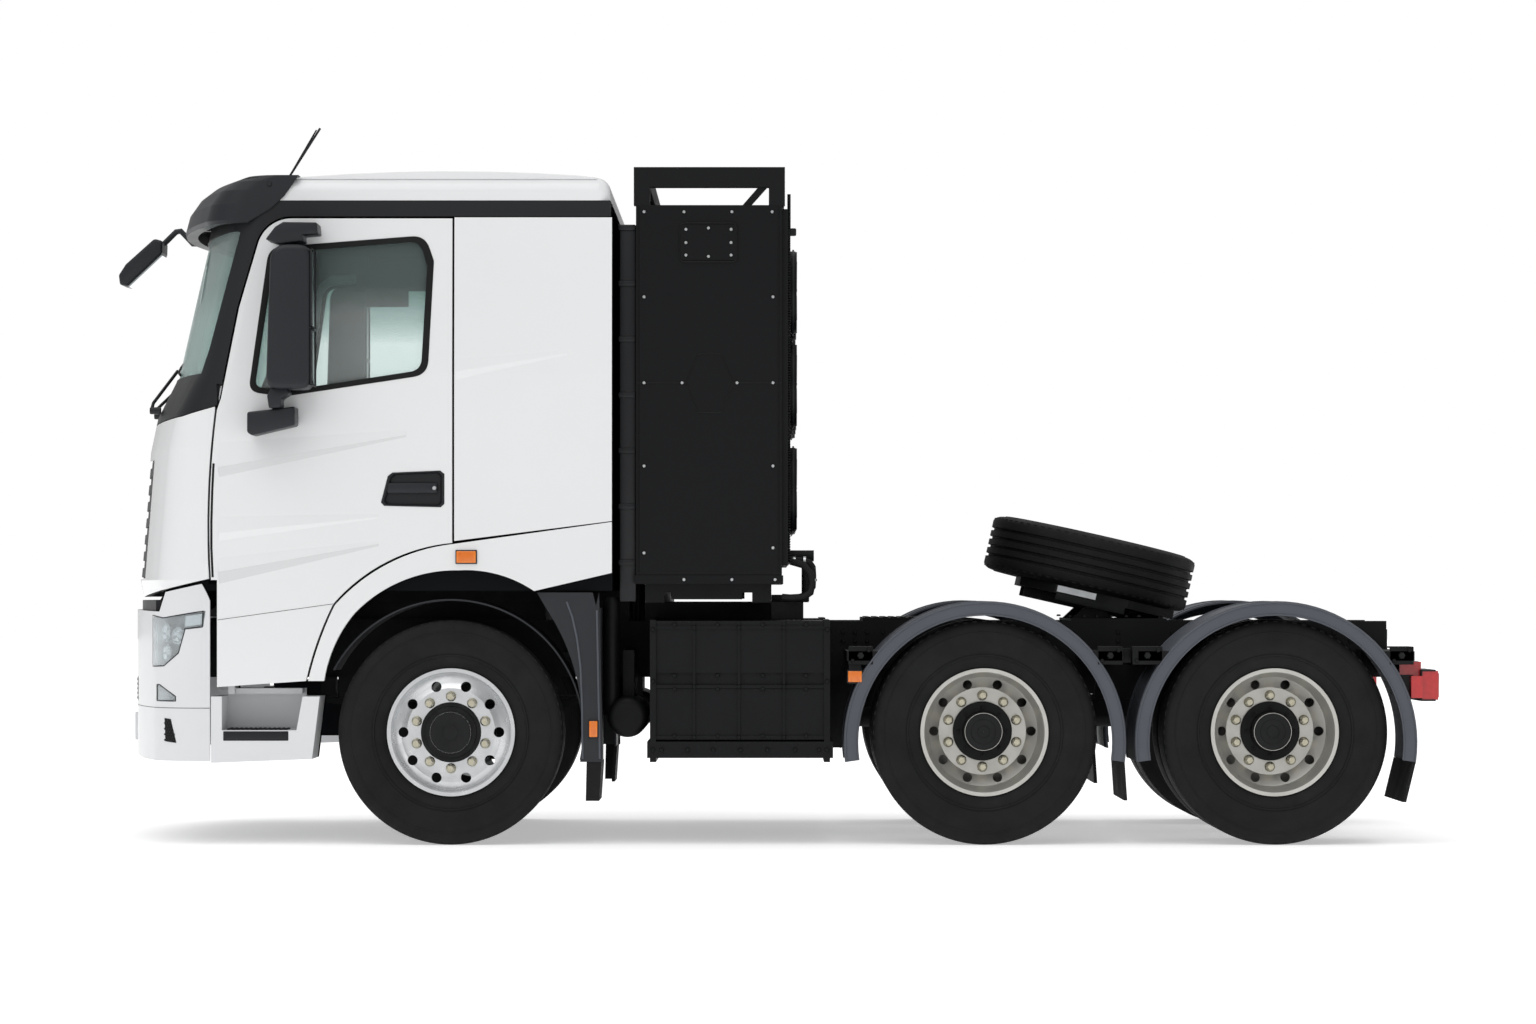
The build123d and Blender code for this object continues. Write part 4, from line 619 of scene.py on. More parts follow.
# (radius, distance outwards from the wheel's middle plane)
FRONT_CAP = ((140, 99), (140, 106), (132, 110), (122, 110), (118, 118), (104, 124), (98, 128), (97, 148),
             (90, 154), (64, 154), (60, 151.5), (38, 151.5), (34, 155), (8, 156), (0.5, 156), (0.5, 99))
DRIVE_CAP = ((139, -101), (139, -86), (130, -84), (96, -84), (91, -78), (90, 24), (84, 33), (60, 35),
             (56, 31.5), (30, 31.5), (26, 35), (0.5, 36), (0.5, -101))
NUT_CIRCLE = 167.5
HUB_BOLTS = 8
# cap, disc face, length of a nut, hub bolts' circle and face, outwards from the wheel's middle plane
FRONT_HUB = (FRONT_CAP, 100, 38, 113, 111)
DRIVE_HUB = (DRIVE_CAP, -100, 34, 112, -82)


def tyre_profile(radius, width, depth):
    """Closed (radius, along) outline of a tyre with four tread grooves."""
    half, seat = width / 2, RIM_SEAT + 0.5
    tread = half - SHOULDER
    belly = (radius - 40 + RIM_SEAT + 55) / 2
    side = [(radius, tread), (radius - 5, tread + 9), (radius - 14, tread + 17), (radius - 27, tread + 23),
            (radius - 40, half - 6), (radius - 54, half - 4), (radius - 55, half - 1.5),
            (radius - 60, half - 1.5), (radius - 61, half - 2.5), (belly + 20, half - 0.5), (belly, half),
            (belly - 22, half - 1.5), (RIM_SEAT + 78, half - 8), (RIM_SEAT + 76, half - 4),
            (RIM_SEAT + 69, half - 5), (RIM_SEAT + 66, half - 13), (RIM_SEAT + 55, half - 16),
            (RIM_SEAT + 38, half - 24), (RIM_SEAT + 22, half - 34), (RIM_SEAT + 15, half - 44),
            (seat, half - 50)]
    crown = []
    for groove in GROOVES:
        middle, foot = groove * tread, radius - depth
        crown += [(radius, middle - GROOVE_TOP), (foot, middle - GROOVE_FOOT), (foot, middle + GROOVE_FOOT),
                  (radius, middle + GROOVE_TOP)]
    return [(r, -y) for r, y in reversed(side)] + crown + side


def each_wheel():
    """Name, axle x, side, tyre middles and body of each wheel set."""
    for side, side_name in SIDES:
        for label, x, count in WHEEL_SETS:
            middles = [side * (WHEEL_Y - TWIN_SPACING * k) for k in range(count)]
            wheels = "wheel" if count == 1 else "wheels"
            yield f"{label}_{side_name}", x, side, middles, f"{label}_{wheels}_{side_name}"


def tyre_and_lugs(name, centre, middles, radius, width):
    """Tyres on one axle, and one shoulder lug at the top of each of their shoulders, about a centre (x, z).
    """
    x, z = centre
    bm, lugs = bmesh.new(), bmesh.new()
    tread = width / 2 - SHOULDER
    for middle in middles:
        profile = tyre_profile(radius, width, sizes().groove_depth / MM)
        add_lathe(bm, profile, (x, middle, z), steps=128)
        for edge in (-1, 1):
            low, high = sorted((middle + edge * (tread - 8), middle + edge * (tread + 12)))
            deep, shallow = LUG_DEPTH
            along = (x - LUG_LENGTH / 2, x + LUG_LENGTH / 2)
            add_box(lugs, along, (low, high), (z + radius - deep, z + radius - shallow))
    return from_bmesh(f"tread_tyre_{name}", bm), from_bmesh(f"shoulder_lugs_{name}", lugs)


class TRACTOR_OT_tyres(bpy.types.Operator):
    """Make the tyres with their tread grooves, sidewall rings and shoulder lugs"""

    bl_idname = "tractor.tyres"
    bl_label = "Make the tyres"

    def execute(self, context):
        rubber, count = "vulcanised_rubber", sizes().shoulder_lugs
        for name, x, side, middles, body in each_wheel():
            tyre, lugs = tyre_and_lugs(name, (x, WHEEL_Z), middles, TYRE_RADIUS, TYRE_WIDTH)
            label, side_name = name.split("_")
            node = f"{label}_tyre_{side_name}" if len(middles) == 1 else f"{label}_tyres_{side_name}"
            finished(tyre, rubber, body, [node])
            axle = at(x, 0, WHEEL_Z)
            finished(grown(lugs, "wheel", rubber, Count=count, Axle=axle, Back=-axle), rubber, body)
        spare, lugs = tyre_and_lugs("spare", (0, 0), (0,), SPARE_RADIUS, SPARE_WIDTH)
        home = at(0, 0, 0)
        grown(lugs, "wheel", rubber, Count=count, Axle=Vector((0, 0, 0)), Back=-home)
        spare.data.transform(SPARE_PLACE @ Matrix.Translation(-home))
        lugs.data.transform(SPARE_PLACE)
        finished(spare, rubber, "coupling", ["spare_tyre"])
        finished(lugs, rubber, "coupling")
        return {"FINISHED"}


def wheel_ring(hub, count, radius, out, first=0.0):
    """Spots evenly round a hub (x, y, side), out from it, with the way that they face."""
    x, y, side = hub
    spots = []
    for k in range(count):
        a = TURNS * (k + first) / count
        spot = (x + radius * math.cos(a), y + side * out, WHEEL_Z + radius * math.sin(a))
        spots.append((spot, (0, side, 0)))
    return spots


class TRACTOR_OT_wheels(bpy.types.Operator):
    """Make the hub caps, wheel nuts, washers and hub bolts"""

    bl_idname = "tractor.wheels"
    bl_label = "Make the wheel fittings"

    def execute(self, context):
        for name, x, side, middles, body in each_wheel():
            cap, face, stick, circle, bolt_face = FRONT_HUB if name.startswith("front") else DRIVE_HUB
            bm = bmesh.new()
            add_lathe(bm, [(r, side * out) for r, out in cap], (x, middles[0], WHEEL_Z), steps=64)
            bmesh.ops.remove_doubles(bm, verts=bm.verts, dist=0.0002)
            finished(from_bmesh(f"hub_cap_{name}", bm), "cast_iron_painted", body)
            hub, count = (x, middles[0], side), sizes().nut_count
            nuts = wheel_ring(hub, count, NUT_CIRCLE, face + stick / 2, 0.5)
            washers = wheel_ring(hub, count, NUT_CIRCLE, face + 3, 0.5)
            bolts = wheel_ring(hub, HUB_BOLTS, circle, bolt_face)
            fasteners(f"wheel_nuts_{name}", nuts, body, sizes().nut_radius / MM, stick + 2)
            fasteners(f"nut_washers_{name}", washers, body, 24, 7, sides=20)
            fasteners(f"hub_bolts_{name}", bolts, body, 8, 8, finish="cast_iron_painted")
        return {"FINISHED"}


# ---- door and cab fittings ------------------------------------------------------------------
LEAN_FOOT, LEAN_TOP, LEAN = 2183, 2991, 25
# outlines seen from the side: x, z and corner radius
WINDOW = ((-921, 2112, 45), (-829, 2762, 70), (-126, 2817, 75), (-88, 2700, 30), (-116, 2190, 75),
          (-760, 2092, 40))
MIRROR_HEAD = ((-828, 2106, 55), (-806, 2768, 80), (-622, 2768, 60), (-622, 2106, 45))
FRONT_VIEW_HEAD = ((-1836, 2790, 22), (-1800, 2846, 30), (-1655, 2976, 26), (-1612, 2965, 18),
                   (-1614, 2900, 20), (-1792, 2732, 20), (-1830, 2742, 14))
HANDLE = ((-312, 1592), (-298, 1577), (-48, 1571), (-32, 1586), (-32, 1718), (-50, 1733), (-262, 1724),
          (-282, 1708))
# share of the handle's outline, and how far out from the truck's middle
TRAY_STEPS = ((1.05, 1250.5), (1.04, 1253), (0.97, 1253), (0.93, 1247), (0.9, 1231))
# upper bracket, lower joint and wide-angle housing: outline, y from and to, rounding
MIRROR_PARTS = (
    (((-834, 2794), (-790, 2852), (-753, 2874), (-598, 2872), (-593, 2820), (-665, 2815), (-660, 2786),
      (-767, 2772)), 1251, 1436, 7),
    (((-806, 2112), (-734, 2112), (-722, 2085), (-762, 2060), (-760, 2022), (-818, 2018), (-826, 2076)),
     1312, 1446, 9),
    (((-921, 2002), (-701, 2027), (-701, 1941), (-899, 1894), (-921, 1908)), 1251, 1418, 10),
)
MIRROR_GLASS_Y = (1292, 1478)
MIRROR_PANES = ((2395, 2745), (2128, 2375))
BEZEL = 7
FRONT_VIEW_Y = 900
FRONT_VIEW_ARM = ((-1650, 2925), (-1556, 3018), (-1532, 3022), (-1470, 2957), (-1185, 2953))


def skin_y(z, proud=0.0):
    """Half width of the cab's outer skin at a height, in millimetres."""
    return CAB_SIDE_Y - LEAN * max(0.0, z - LEAN_FOOT) / (LEAN_TOP - LEAN_FOOT) + proud


def window_path(grow):
    """Window outline with its edges moved outwards by grow, as (x, z) points."""
    middle_x = sum(c[0] for c in WINDOW) / len(WINDOW)
    middle_z = sum(c[1] for c in WINDOW) / len(WINDOW)
    rows = []
    for x, z, radius in WINDOW:
        away = math.hypot(x - middle_x, z - middle_z)
        rows.append((x + (x - middle_x) * grow / away, z + (z - middle_z) * grow / away, radius + grow * 0.5))
    return rounded(rows, 8)


def window_rubber(name, side, inner, outer, low, high, body):
    """Band between two window outlines, low and high being how far it stands off the skin."""
    bm = bmesh.new()
    loops = []
    for grow, proud in ((outer, low), (outer, high), (inner, high), (inner, low)):
        loops.append([bm.verts.new(at(x, side * skin_y(z, proud), z)) for x, z in window_path(grow)])
    for i, loop in enumerate(loops):
        bridge(bm, loop, loops[(i + 1) % len(loops)])
    finished(bevelled(from_bmesh(name, bm), 2), "vulcanised_rubber", body)


def handle_tray(name, side, body):
    """Dished handle recess with a rolled lip."""
    bm = bmesh.new()
    middle = Vector((sum(p[0] for p in HANDLE), sum(p[1] for p in HANDLE))) / len(HANDLE)
    loops = []
    for share, out in TRAY_STEPS:
        spots = [middle + (Vector(corner) - middle) * share for corner in HANDLE]
        loops.append([bm.verts.new(at(spot.x, side * out, spot.y)) for spot in spots])
    for near, far in zip(loops, loops[1:]):
        bridge(bm, near, far)
    bm.faces.new(loops[-1])
    made = from_bmesh(name, bm)
    if side > 0:
        made.data.flip_normals()
    finished(walled(made, 0.8), "moulded_abs_black", body)


def mirror_housing(name, side, node, body):
    """Rounded main housing with its upper bracket, lower joint and wide-angle housing."""
    bm, whole = bmesh.new(), bmesh.new()
    add_prism(bm, rounded(MIRROR_HEAD), *beside(side, 1276, 1494))
    absorb(whole, bevelled(from_bmesh(name, bm), 24, 4))
    for outline, near, far, edge in MIRROR_PARTS:
        bm = bmesh.new()
        add_prism(bm, outline, *beside(side, near, far))
        absorb(whole, bevelled(from_bmesh(name, bm), edge, 3))
    finished(from_bmesh(name, whole), "moulded_asa_graphite", body, replaces=(node,))


def bezel_boxes(y):
    """Four bars round each pane of a mirror."""
    for low, high in MIRROR_PANES:
        z = (low - BEZEL, high + BEZEL)
        bars = [((y[0] - BEZEL, y[0]), z), ((y[1], y[1] + BEZEL), z)]
        bars += [((y[0] - BEZEL, y[1] + BEZEL), (foot, foot + BEZEL)) for foot in (z[0], z[1] - BEZEL)]
        for across, up in bars:
            yield (-623, -615), across, up


class TRACTOR_OT_door_fittings(bpy.types.Operator):
    """Make the window rubbers, door handles and mirrors"""

    bl_idname = "tractor.door_fittings"
    bl_label = "Make the door fittings"

    def execute(self, context):
        width = sizes().seal_width / MM
        for side, side_name in SIDES:
            body = f"{side_name}_door"
            window_rubber(f"window_rubber_{side_name}", side, -22, width - 4, -8, 3, body)
            handle_tray(f"handle_tray_{side_name}", side, body)
            grip = ((-292, -58), beside(side, 1251, 1233), (1632, 1680))
            blocks(f"door_grip_{side_name}", [grip], "moulded_asa_graphite", body, 7, 3)
            lock = ((-72, side * 1252, 1656), (0, side, 0))
            fasteners(f"door_lock_{side_name}", [lock], body, 11, 5, 24, "stainless_steel")
            mirror_housing(f"mirror_housing_{side_name}", side, f"mirror_{side_name}", body)
            wide = beside(side, *MIRROR_GLASS_Y)
            panes = [((-622, -617), wide, z) for z in MIRROR_PANES]
            blocks(f"mirror_glass_{side_name}", panes, "silvered_mirror_glass", body, 2)
            blocks(f"mirror_bezel_{side_name}", bezel_boxes(wide), "moulded_abs_black", body, 1.5)
        bm = bmesh.new()
        add_prism(bm, rounded(FRONT_VIEW_HEAD, 5), FRONT_VIEW_Y - 105, FRONT_VIEW_Y + 105)
        head = bevelled(from_bmesh("front_view_housing", bm), 16, 3)
        finished(head, "moulded_asa_graphite", "cab", replaces=("front_view_mirror",))
        arm = [(x, FRONT_VIEW_Y, z) for x, z in FRONT_VIEW_ARM]
        strips("front_view_arm", [arm], "cab", 15, "moulded_asa_graphite", 12)
        bm = bmesh.new()
        pane = ((-1790, 2738), (-1784, 2730), (-1614, 2890), (-1620, 2898))
        add_prism(bm, pane, FRONT_VIEW_Y - 88, FRONT_VIEW_Y + 88)
        finished(from_bmesh("front_view_glass", bm), "silvered_mirror_glass", "cab")
        return {"FINISHED"}


# place, x, z, half width of the truck there, and body
MARKERS = (("cab", (26, 126), (1304, 1369), 1249, "cab"), ("guard", (640, 688), (497, 581), 1224, "chassis"),
           ("fender", (1840, 1914), (752, 813), 1240, "chassis"))


class TRACTOR_OT_side_markers(bpy.types.Operator):
    """Make the amber side markers with their housings"""

    bl_idname = "tractor.side_markers"
    bl_label = "Make the side markers"

    def execute(self, context):
        amber = "moulded_acrylic_amber"
        for side, side_name in SIDES:
            for label, x, z, out, body in MARKERS:
                base = (x, beside(side, out, out + 9), z)
                blocks(f"marker_base_{label}_{side_name}", [base], "moulded_abs_black", body, 3, 3)
                inside = ((x[0] + 5, x[1] - 5), beside(side, out + 3, out + 17), (z[0] + 5, z[1] - 5))
                blocks(f"marker_lens_{label}_{side_name}", [inside], amber, body, 4, 3)
                length = x[1] - x[0]
                step = 7 if length > 60 else 6
                count = int((length - 20) / step)
                first = (x[0] + x[1]) / 2 - (count - 1) / 2 * step
                rib = ((first - 1.5, first + 1.5), beside(side, out + 16, out + 19), (z[0] + 10, z[1] - 10))
                ribs = boxed(f"marker_ribs_{label}_{side_name}", [rib])
                row(ribs, amber, body, count, (step * MM, 0, 0))
        return {"FINISHED"}


# ---- lamps ----------------------------------------------------------------------------------
# the bumper's corner seen from above: the middle of its arc and its radius
CORNER_X, CORNER_Y, CORNER_R = -1143.9, 975, 270
LAMP_EDGE = ((-1404, 1066), (-1340, 1054), (-1144, 1086), (-1148, 1012), (-1229, 1003), (-1262, 891),
             (-1336, 831), (-1404, 827))
FOG_EDGE = ((-1376, 743), (-1359, 743), (-1276, 690), (-1276, 668), (-1376, 668))
RUNNING_LIGHT = ((-1228, 1062), (-1146, 1074), (-1150, 1024), (-1232, 1014))
# how far round the corner, height, share of full size
LAMP_BOWLS = ((57, 985, 0.82), (34, 970, 0.74), (56, 892, 0.78), (47, 706, 0.5))
BOWL = ((0.5, 16), (24, 12), (40, 4), (50, -12), (54, -12), (54, -8), (42, 10), (26, 18), (0.5, 22))
BULB = ((0.5, -10), (12, -8), (20, 0), (22, 12), (0.5, 14))


def corner_spot(angle, z, out, side):
    """Point (x, y, z) round the bumper's corner, an angle in degrees from its side, out from its skin."""
    a, radius = math.radians(angle), CORNER_R + out
    return (CORNER_X - radius * math.sin(a), side * (CORNER_Y + radius * math.cos(a)), z)


def corner_angle(x):
    """How far round the bumper's corner an x lies, in degrees."""
    return math.degrees(math.asin(min(1, max(0, (CORNER_X - x) / CORNER_R))))


def corner_plate(name, side, corners, low, high, finish, steps=8):
    """Plate on the bumper's corner from its four (x, z) corners, upper front one first.

    It stands low to high off the skin.
    """
    bm = bmesh.new()
    rings = []
    for i in range(steps + 1):
        ring = []
        for (x0, z0), (x1, z1), out in ((*corners[:2], low), (*corners[:2], high), (*corners[:1:-1], high),
                                        (*corners[:1:-1], low)):
            x, z = x0 + (x1 - x0) * i / steps, z0 + (z1 - z0) * i / steps
            ring.append(bm.verts.new(at(*corner_spot(corner_angle(x), z, out, side))))
        rings.append(ring)
    add_loft(bm, rings)
    finished(from_bmesh(name, bm), finish, "chassis")


def corner_outline(outline, side, steps=6):
    """Closed path round an (x, z) outline laid on the bumper's corner."""
    path = []
    for (x0, z0), (x1, z1) in zip(outline, outline[1:] + outline[:1]):
        for k in range(steps):
            x, z = x0 + (x1 - x0) * k / steps, z0 + (z1 - z0) * k / steps
            path.append(corner_spot(corner_angle(x), z, -1, side))
    return path + path[:1]


def lamp_shell(name, outside, finish, thickness):
    """The lens (outside) or the bowl of the CAD lamp blocks, as a thin closed wall."""
    bm = bmesh.new()
    bm.from_mesh(NODES["front_lamps"].data)
    bmesh.ops.remove_doubles(bm, verts=bm.verts, dist=0.00005)
    gone = []
    for face in bm.faces:
        side = 1 if face.calc_center_median().y > 0 else -1
        skin = face.normal.dot(Vector((-0.8, side * 0.6, 0))) > 0.3
        if skin != outside:
            gone.append(face)
    bmesh.ops.delete(bm, geom=gone, context="FACES")
    return finished(walled(from_bmesh(name, bm, outward=False), thickness), finish, "chassis")


def add_bowl(bm, centre, turn, profile, share):
    """Turned lamp part whose axis points forwards, turned outwards by an angle in degrees."""
    part = bmesh.new()
    add_lathe(part, [(r * share, along * share) for r, along in profile], (0, 0, 0), "X", 40)
    bmesh.ops.remove_doubles(part, verts=part.verts, dist=0.0001)
    bmesh.ops.recalc_face_normals(part, faces=part.faces)
    place = Matrix.Translation(at(*centre)) @ Matrix.Rotation(math.radians(turn), 4, "Z")
    bmesh.ops.transform(part, matrix=place @ Matrix.Translation(-at(0, 0, 0)), verts=part.verts)
    absorb(bm, from_bmesh("part", part, False))


class TRACTOR_OT_front_lamps(bpy.types.Operator):
    """Make the headlamp and fog lamp lenses, bowls and inner parts"""

    bl_idname = "tractor.front_lamps"
    bl_label = "Make the front lamps"

    def execute(self, context):
        cover = lamp_shell("lamp_covers", True, "clear_polycarbonate", 2.5)
        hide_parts("front_lamps")
        lamp_shell("lamp_bowls", False, "anodised_aluminium", 1.5)
        for side, side_name in SIDES:
            bm, bulbs = bmesh.new(), bmesh.new()
            for angle, z, share in LAMP_BOWLS:
                centre, turn = corner_spot(angle, z, -52, side), -side * (90 - angle)
                add_bowl(bm, centre, turn, BOWL, share)
                add_bowl(bulbs, centre, turn, BULB, share)
            for name, part, finish in (("lamp_reflectors", bm, "vacuum_metallised_plastic"),
                                       ("lamp_projectors", bulbs, "moulded_acrylic_white")):
                finished(from_bmesh(f"{name}_{side_name}", part, False), finish, "chassis")
            edges = [corner_outline(outline, side) for outline in (LAMP_EDGE, FOG_EDGE)]
            strips(f"lamp_gaskets_{side_name}", edges, "chassis", 3, "moulded_abs_black", 6)
            corner_plate(f"running_light_{side_name}", side, RUNNING_LIGHT, -16, -6, "moulded_acrylic_white")
        return {"FINISHED"}


# ---- front, roof and body lines -------------------------------------------------------------
CAB_BOW = 3000              # radius of the bowed front seen from above
BUMPER_X, BUMPER_END = -1594, -1113
BUMPER_SEAM_Z = 636
# foot of the front panel, and how far it leans back for each millimetre of height
PANEL_X, PANEL_LEAN = -1578, 49 / 615
GRILLE_Z = (1240, 1795)
# start and end (x, z), how far above and below the line the panel is pressed, and how deep
DOOR_CREASES = (((-1069, 1754), (-203, 1902), 120, 46, 7), ((-1069, 1448), (-330, 1522), 80, 40, 6),
                ((-1069, 1268), (-330, 1398), 70, 60, 6))
# the lines whose lower face is given painted shade, a sliver of darker enamel
SHADED_CREASES = (((-1069, 1754), (-203, 1902), 1, 50, 7.5), ((-1069, 1268), (-330, 1398), 1, 60, 6.5))
SLEEPER_CREASE = ((24, 2196), (547, 2282), 60, 46, 6)
AERIAL = ((-790, -900, 3118), (-636, -900, 3360))
# pressed crown along the roof, (x, z)
ROOF_CROWN = ((-720, 3092), (-720, 3101), (-480, 3116), (-260, 3125), (-60, 3129), (180, 3127), (400, 3120),
              (580, 3110), (680, 3100), (680, 3092))
# rubber down the door's front edge, below the mirror, and the seam over the door's skirt
DOOR_EDGE = ((-1095, 1770), (-1101, 1640), (-1105, 1500), (-1105, 1380), (-1099, 1243))
DOOR_SEAM = ((-1076, 1045), (-543, 1119))
VENT = ((-1332, 588), (-1300, 584), (-1272, 474), (-1326, 480))
# the vent's cells: columns in degrees round the corner, rows in z, and the angles that they stay between
CELL_COLUMNS = (29.5, 3.1, 5)
CELL_ROWS = (578, 13, 8)
CELL_ANGLES = (27.6, 43.5)
CELL_SLANT = 9
# air baffles over the bumper, apart from the cab's arms
BAFFLES = (("left", (-1010, -345)), ("middle", (-255, 255)), ("right", (345, 1010)))


def bow_x(y, x_middle):
    """X of the bowed front at a distance y from the middle."""
    return x_middle + CAB_BOW - math.sqrt(CAB_BOW ** 2 - y * y)


def bowed_band(name, span, low, high, depth, steps=14):
    """Closed band that follows the front's bow over a span of Y between its low and high (x, z) edges."""
    bm = bmesh.new()
    rings = []
    for i in range(steps + 1):
        y = span[0] + (span[1] - span[0]) * i / steps
        rows = ((low, 0), (high, 0), (high, depth), (low, depth))
        rings.append([bm.verts.new(at(bow_x(y, x) + back, y, z)) for (x, z), back in rows])
    add_loft(bm, rings)
    return from_bmesh(name, bm)


def bumper_line(z, out):
    """Path round the whole bumper at one height."""
    corner = [corner_spot(a, z, out, 1) for a in range(0, 70, 8)]
    half = [(BUMPER_END, CORNER_Y + CORNER_R + out, z)] + corner
    front = [(bow_x(y, BUMPER_X) - out, y, z) for y in range(1000, -1001, -100)]
    return half + front + [(x, -y, z) for x, y, z in reversed(half)]


def creases(name, side, lines, finish, body):
    """Pressed lines in a flat panel: ridges that fade from start to end, each (x, z)."""
    bm = bmesh.new()
    for start, end, above, below, height in lines:
        rings = []
        for (x, z), share in ((start, 1.0), (end, 0.25)):
            points = ((z + above * share, -0.5), (z, height * share), (z - below * share, -0.5))
            rings.append([bm.verts.new(at(x, side * skin_y(level, out), level)) for level, out in points])
        add_loft(bm, rings)
    finished(from_bmesh(name, bm), finish, body, smooth=3)


def vent_cells(side):
    """Staggered cells of the bumper's vent, each a spot and the way that it faces."""
    (first, pitch, columns), (top, drop, lines) = CELL_COLUMNS, CELL_ROWS
    for line in range(lines):
        for column in range(columns):
            angle = first + (column + (line % 2) / 2) * pitch
            z = top - line * drop
            lower = (VENT[0][1] - z) / (VENT[0][1] - VENT[2][1])
            if CELL_ANGLES[0] + CELL_SLANT * (1 - lower) < angle < CELL_ANGLES[1]:
                spot, ahead = corner_spot(angle, z, 1.8, side), corner_spot(angle, z, 2.8, side)
                yield spot, tuple(b - a for a, b in zip(spot, ahead))


class TRACTOR_OT_body_lines(bpy.types.Operator):
    """Make the pressed lines and seams, the bumper's vents, the roof's crown and the blank number plate"""

    bl_idname = "tractor.body_lines"
    bl_label = "Make the body lines"

    def execute(self, context):
        black, white, pale = "moulded_abs_black", "acrylic_enamel_white", "painted_steel_pale"
        cells, fixings = [], []
        for side, side_name in SIDES:
            body = f"{side_name}_door"
            creases(f"door_creases_{side_name}", side, DOOR_CREASES, white, body)
            # painted shade: a sliver of darker enamel on the lower face of two of the lines
            creases(f"door_crease_shades_{side_name}", side, SHADED_CREASES, "acrylic_enamel_painted_shade", body)
            creases(f"sleeper_crease_{side_name}", side, (SLEEPER_CREASE,), white, "cab")
            edge = [(x, side * (CAB_SIDE_Y - 4), z) for x, z in DOOR_EDGE]
            strips(f"door_edge_seal_{side_name}", [edge], body, 7, "vulcanised_rubber")
            seam = [(x, side * CAB_SIDE_Y, z) for x, z in DOOR_SEAM]
            strips(f"door_seam_{side_name}", [seam], body, 1.3, black, 6)
            corner_plate(f"bumper_vent_{side_name}", side, VENT, -3, 2, "vulcanised_rubber")
            cells += vent_cells(side)
            fixings.append(((-837, side * 1236, 3066), (0, side, 0.2)))
        fasteners("vent_cells", cells, "chassis", 5.5, 2.5, 6, black)
        strips("bumper_seam", [bumper_line(BUMPER_SEAM_Z, 0)], "chassis", 1.6, black, 6)
        back = BUMPER_X - 0.6
        finished(bowed_band("intake_back", (-560, 560), (back, 656), (back, 770), 6), black, "chassis")
        for name, span in BAFFLES:
            made = bowed_band(f"air_baffle_{name}", span, (BUMPER_X + 24, 1050), (BUMPER_X + 24, 1136), 80)
            finished(made, black, "chassis")
        slat = bowed_band("intake_slats", (-556, 556), (BUMPER_X - 3, 664), (BUMPER_X - 1, 676), 6)
        row(slat, "moulded_asa_graphite", "chassis", 5, (0, 0, 22 * MM))
        holder = ((BUMPER_X - 4, BUMPER_X + 14), (-272, 272), (458, 592))
        blocks("plate_holder", [holder], pale, "chassis", 2)
        plate = ((BUMPER_X - 6, BUMPER_X - 3), (-260, 260), (470, 580))
        blocks("blank_number_plate", [plate], pale, "chassis", 1.5)
        bm = bmesh.new()
        add_prism(bm, ROOF_CROWN, -1196, 1196)
        finished(bevelled(from_bmesh("roof_crown", bm), 9, 3), white, "cab", smooth=20)
        strips("aerial_sheath", [AERIAL], "cab", 5.5, black)
        fasteners("visor_fixings", fixings, "cab", 12, 6, 20, black)
        return {"FINISHED"}


WIPER_Y = (-620, 0, 620)
PIVOT_Z = 2040
WIPER_PIVOT = ((0.5, -42), (15, -40), (17, -34), (17, 12), (0.5, 13))
# where the arm meets the blade, and the blade's points: along Y from the pivot, and z
ARM_END = (215, 2240)
BLADE = ((-40, 2208), (90, 2222), (220, 2240), (350, 2262), (470, 2286))


def glass_x(y, z):
    """X of the windscreen's outer face in its bowed middle part."""
    return bow_x(y, -1407 + (z - LEAN_FOOT) * 185 / (LEAN_TOP - LEAN_FOOT) + 9)


class TRACTOR_OT_wipers(bpy.types.Operator):
    """Make the wiper arms and blades, parked low on the windscreen"""

    bl_idname = "tractor.wipers"
    bl_label = "Make the wipers"

    def execute(self, context):
        arms, blades, bm = [], [], bmesh.new()
        along, end_z = ARM_END
        for y in WIPER_Y:
            foot = bow_x(y, -1502)
            add_lathe(bm, WIPER_PIVOT, (foot, y, PIVOT_Z), "X", 24)
            end = (glass_x(y + along, end_z) - 16, y + along, end_z)
            arms.append([(foot - 34, y, PIVOT_Z), (foot - 28, y + 30, 2078), end])
            blades.append([(glass_x(y + out, z) - 8, y + out, z) for out, z in BLADE])
        bmesh.ops.remove_doubles(bm, verts=bm.verts, dist=0.0002)
        finished(from_bmesh("wiper_pivots", bm), "moulded_abs_black", "cab", replaces=("wipers",))
        strips("wiper_arms", arms, "cab", 8, "moulded_abs_black", 10)
        strips("wiper_blades", blades, "cab", 6, "vulcanised_rubber", 8)
        return {"FINISHED"}


class TRACTOR_OT_grille(bpy.types.Operator):
    """Make the grille's slats and the panel behind them"""

    bl_idname = "tractor.grille"
    bl_label = "Make the grille"

    def execute(self, context):
        count = sizes().slat_count
        low, high = GRILLE_Z
        pitch = (high - low) / count
        back = PANEL_X + 11
        top = (back + PANEL_LEAN * (high - low), high)
        finished(bowed_band("grille_back", (-752, 752), (back, low), top, 8), "moulded_abs_black", "cab")
        foot = (PANEL_X + 4, low + 6)
        slat = bowed_band("grille_slats", (-750, 750), foot, (PANEL_X + 8, low + 6 + pitch * 0.55), 9)
        row(slat, "moulded_asa_graphite", "cab", count, (PANEL_LEAN * pitch * MM, 0, pitch * MM))
        return {"FINISHED"}


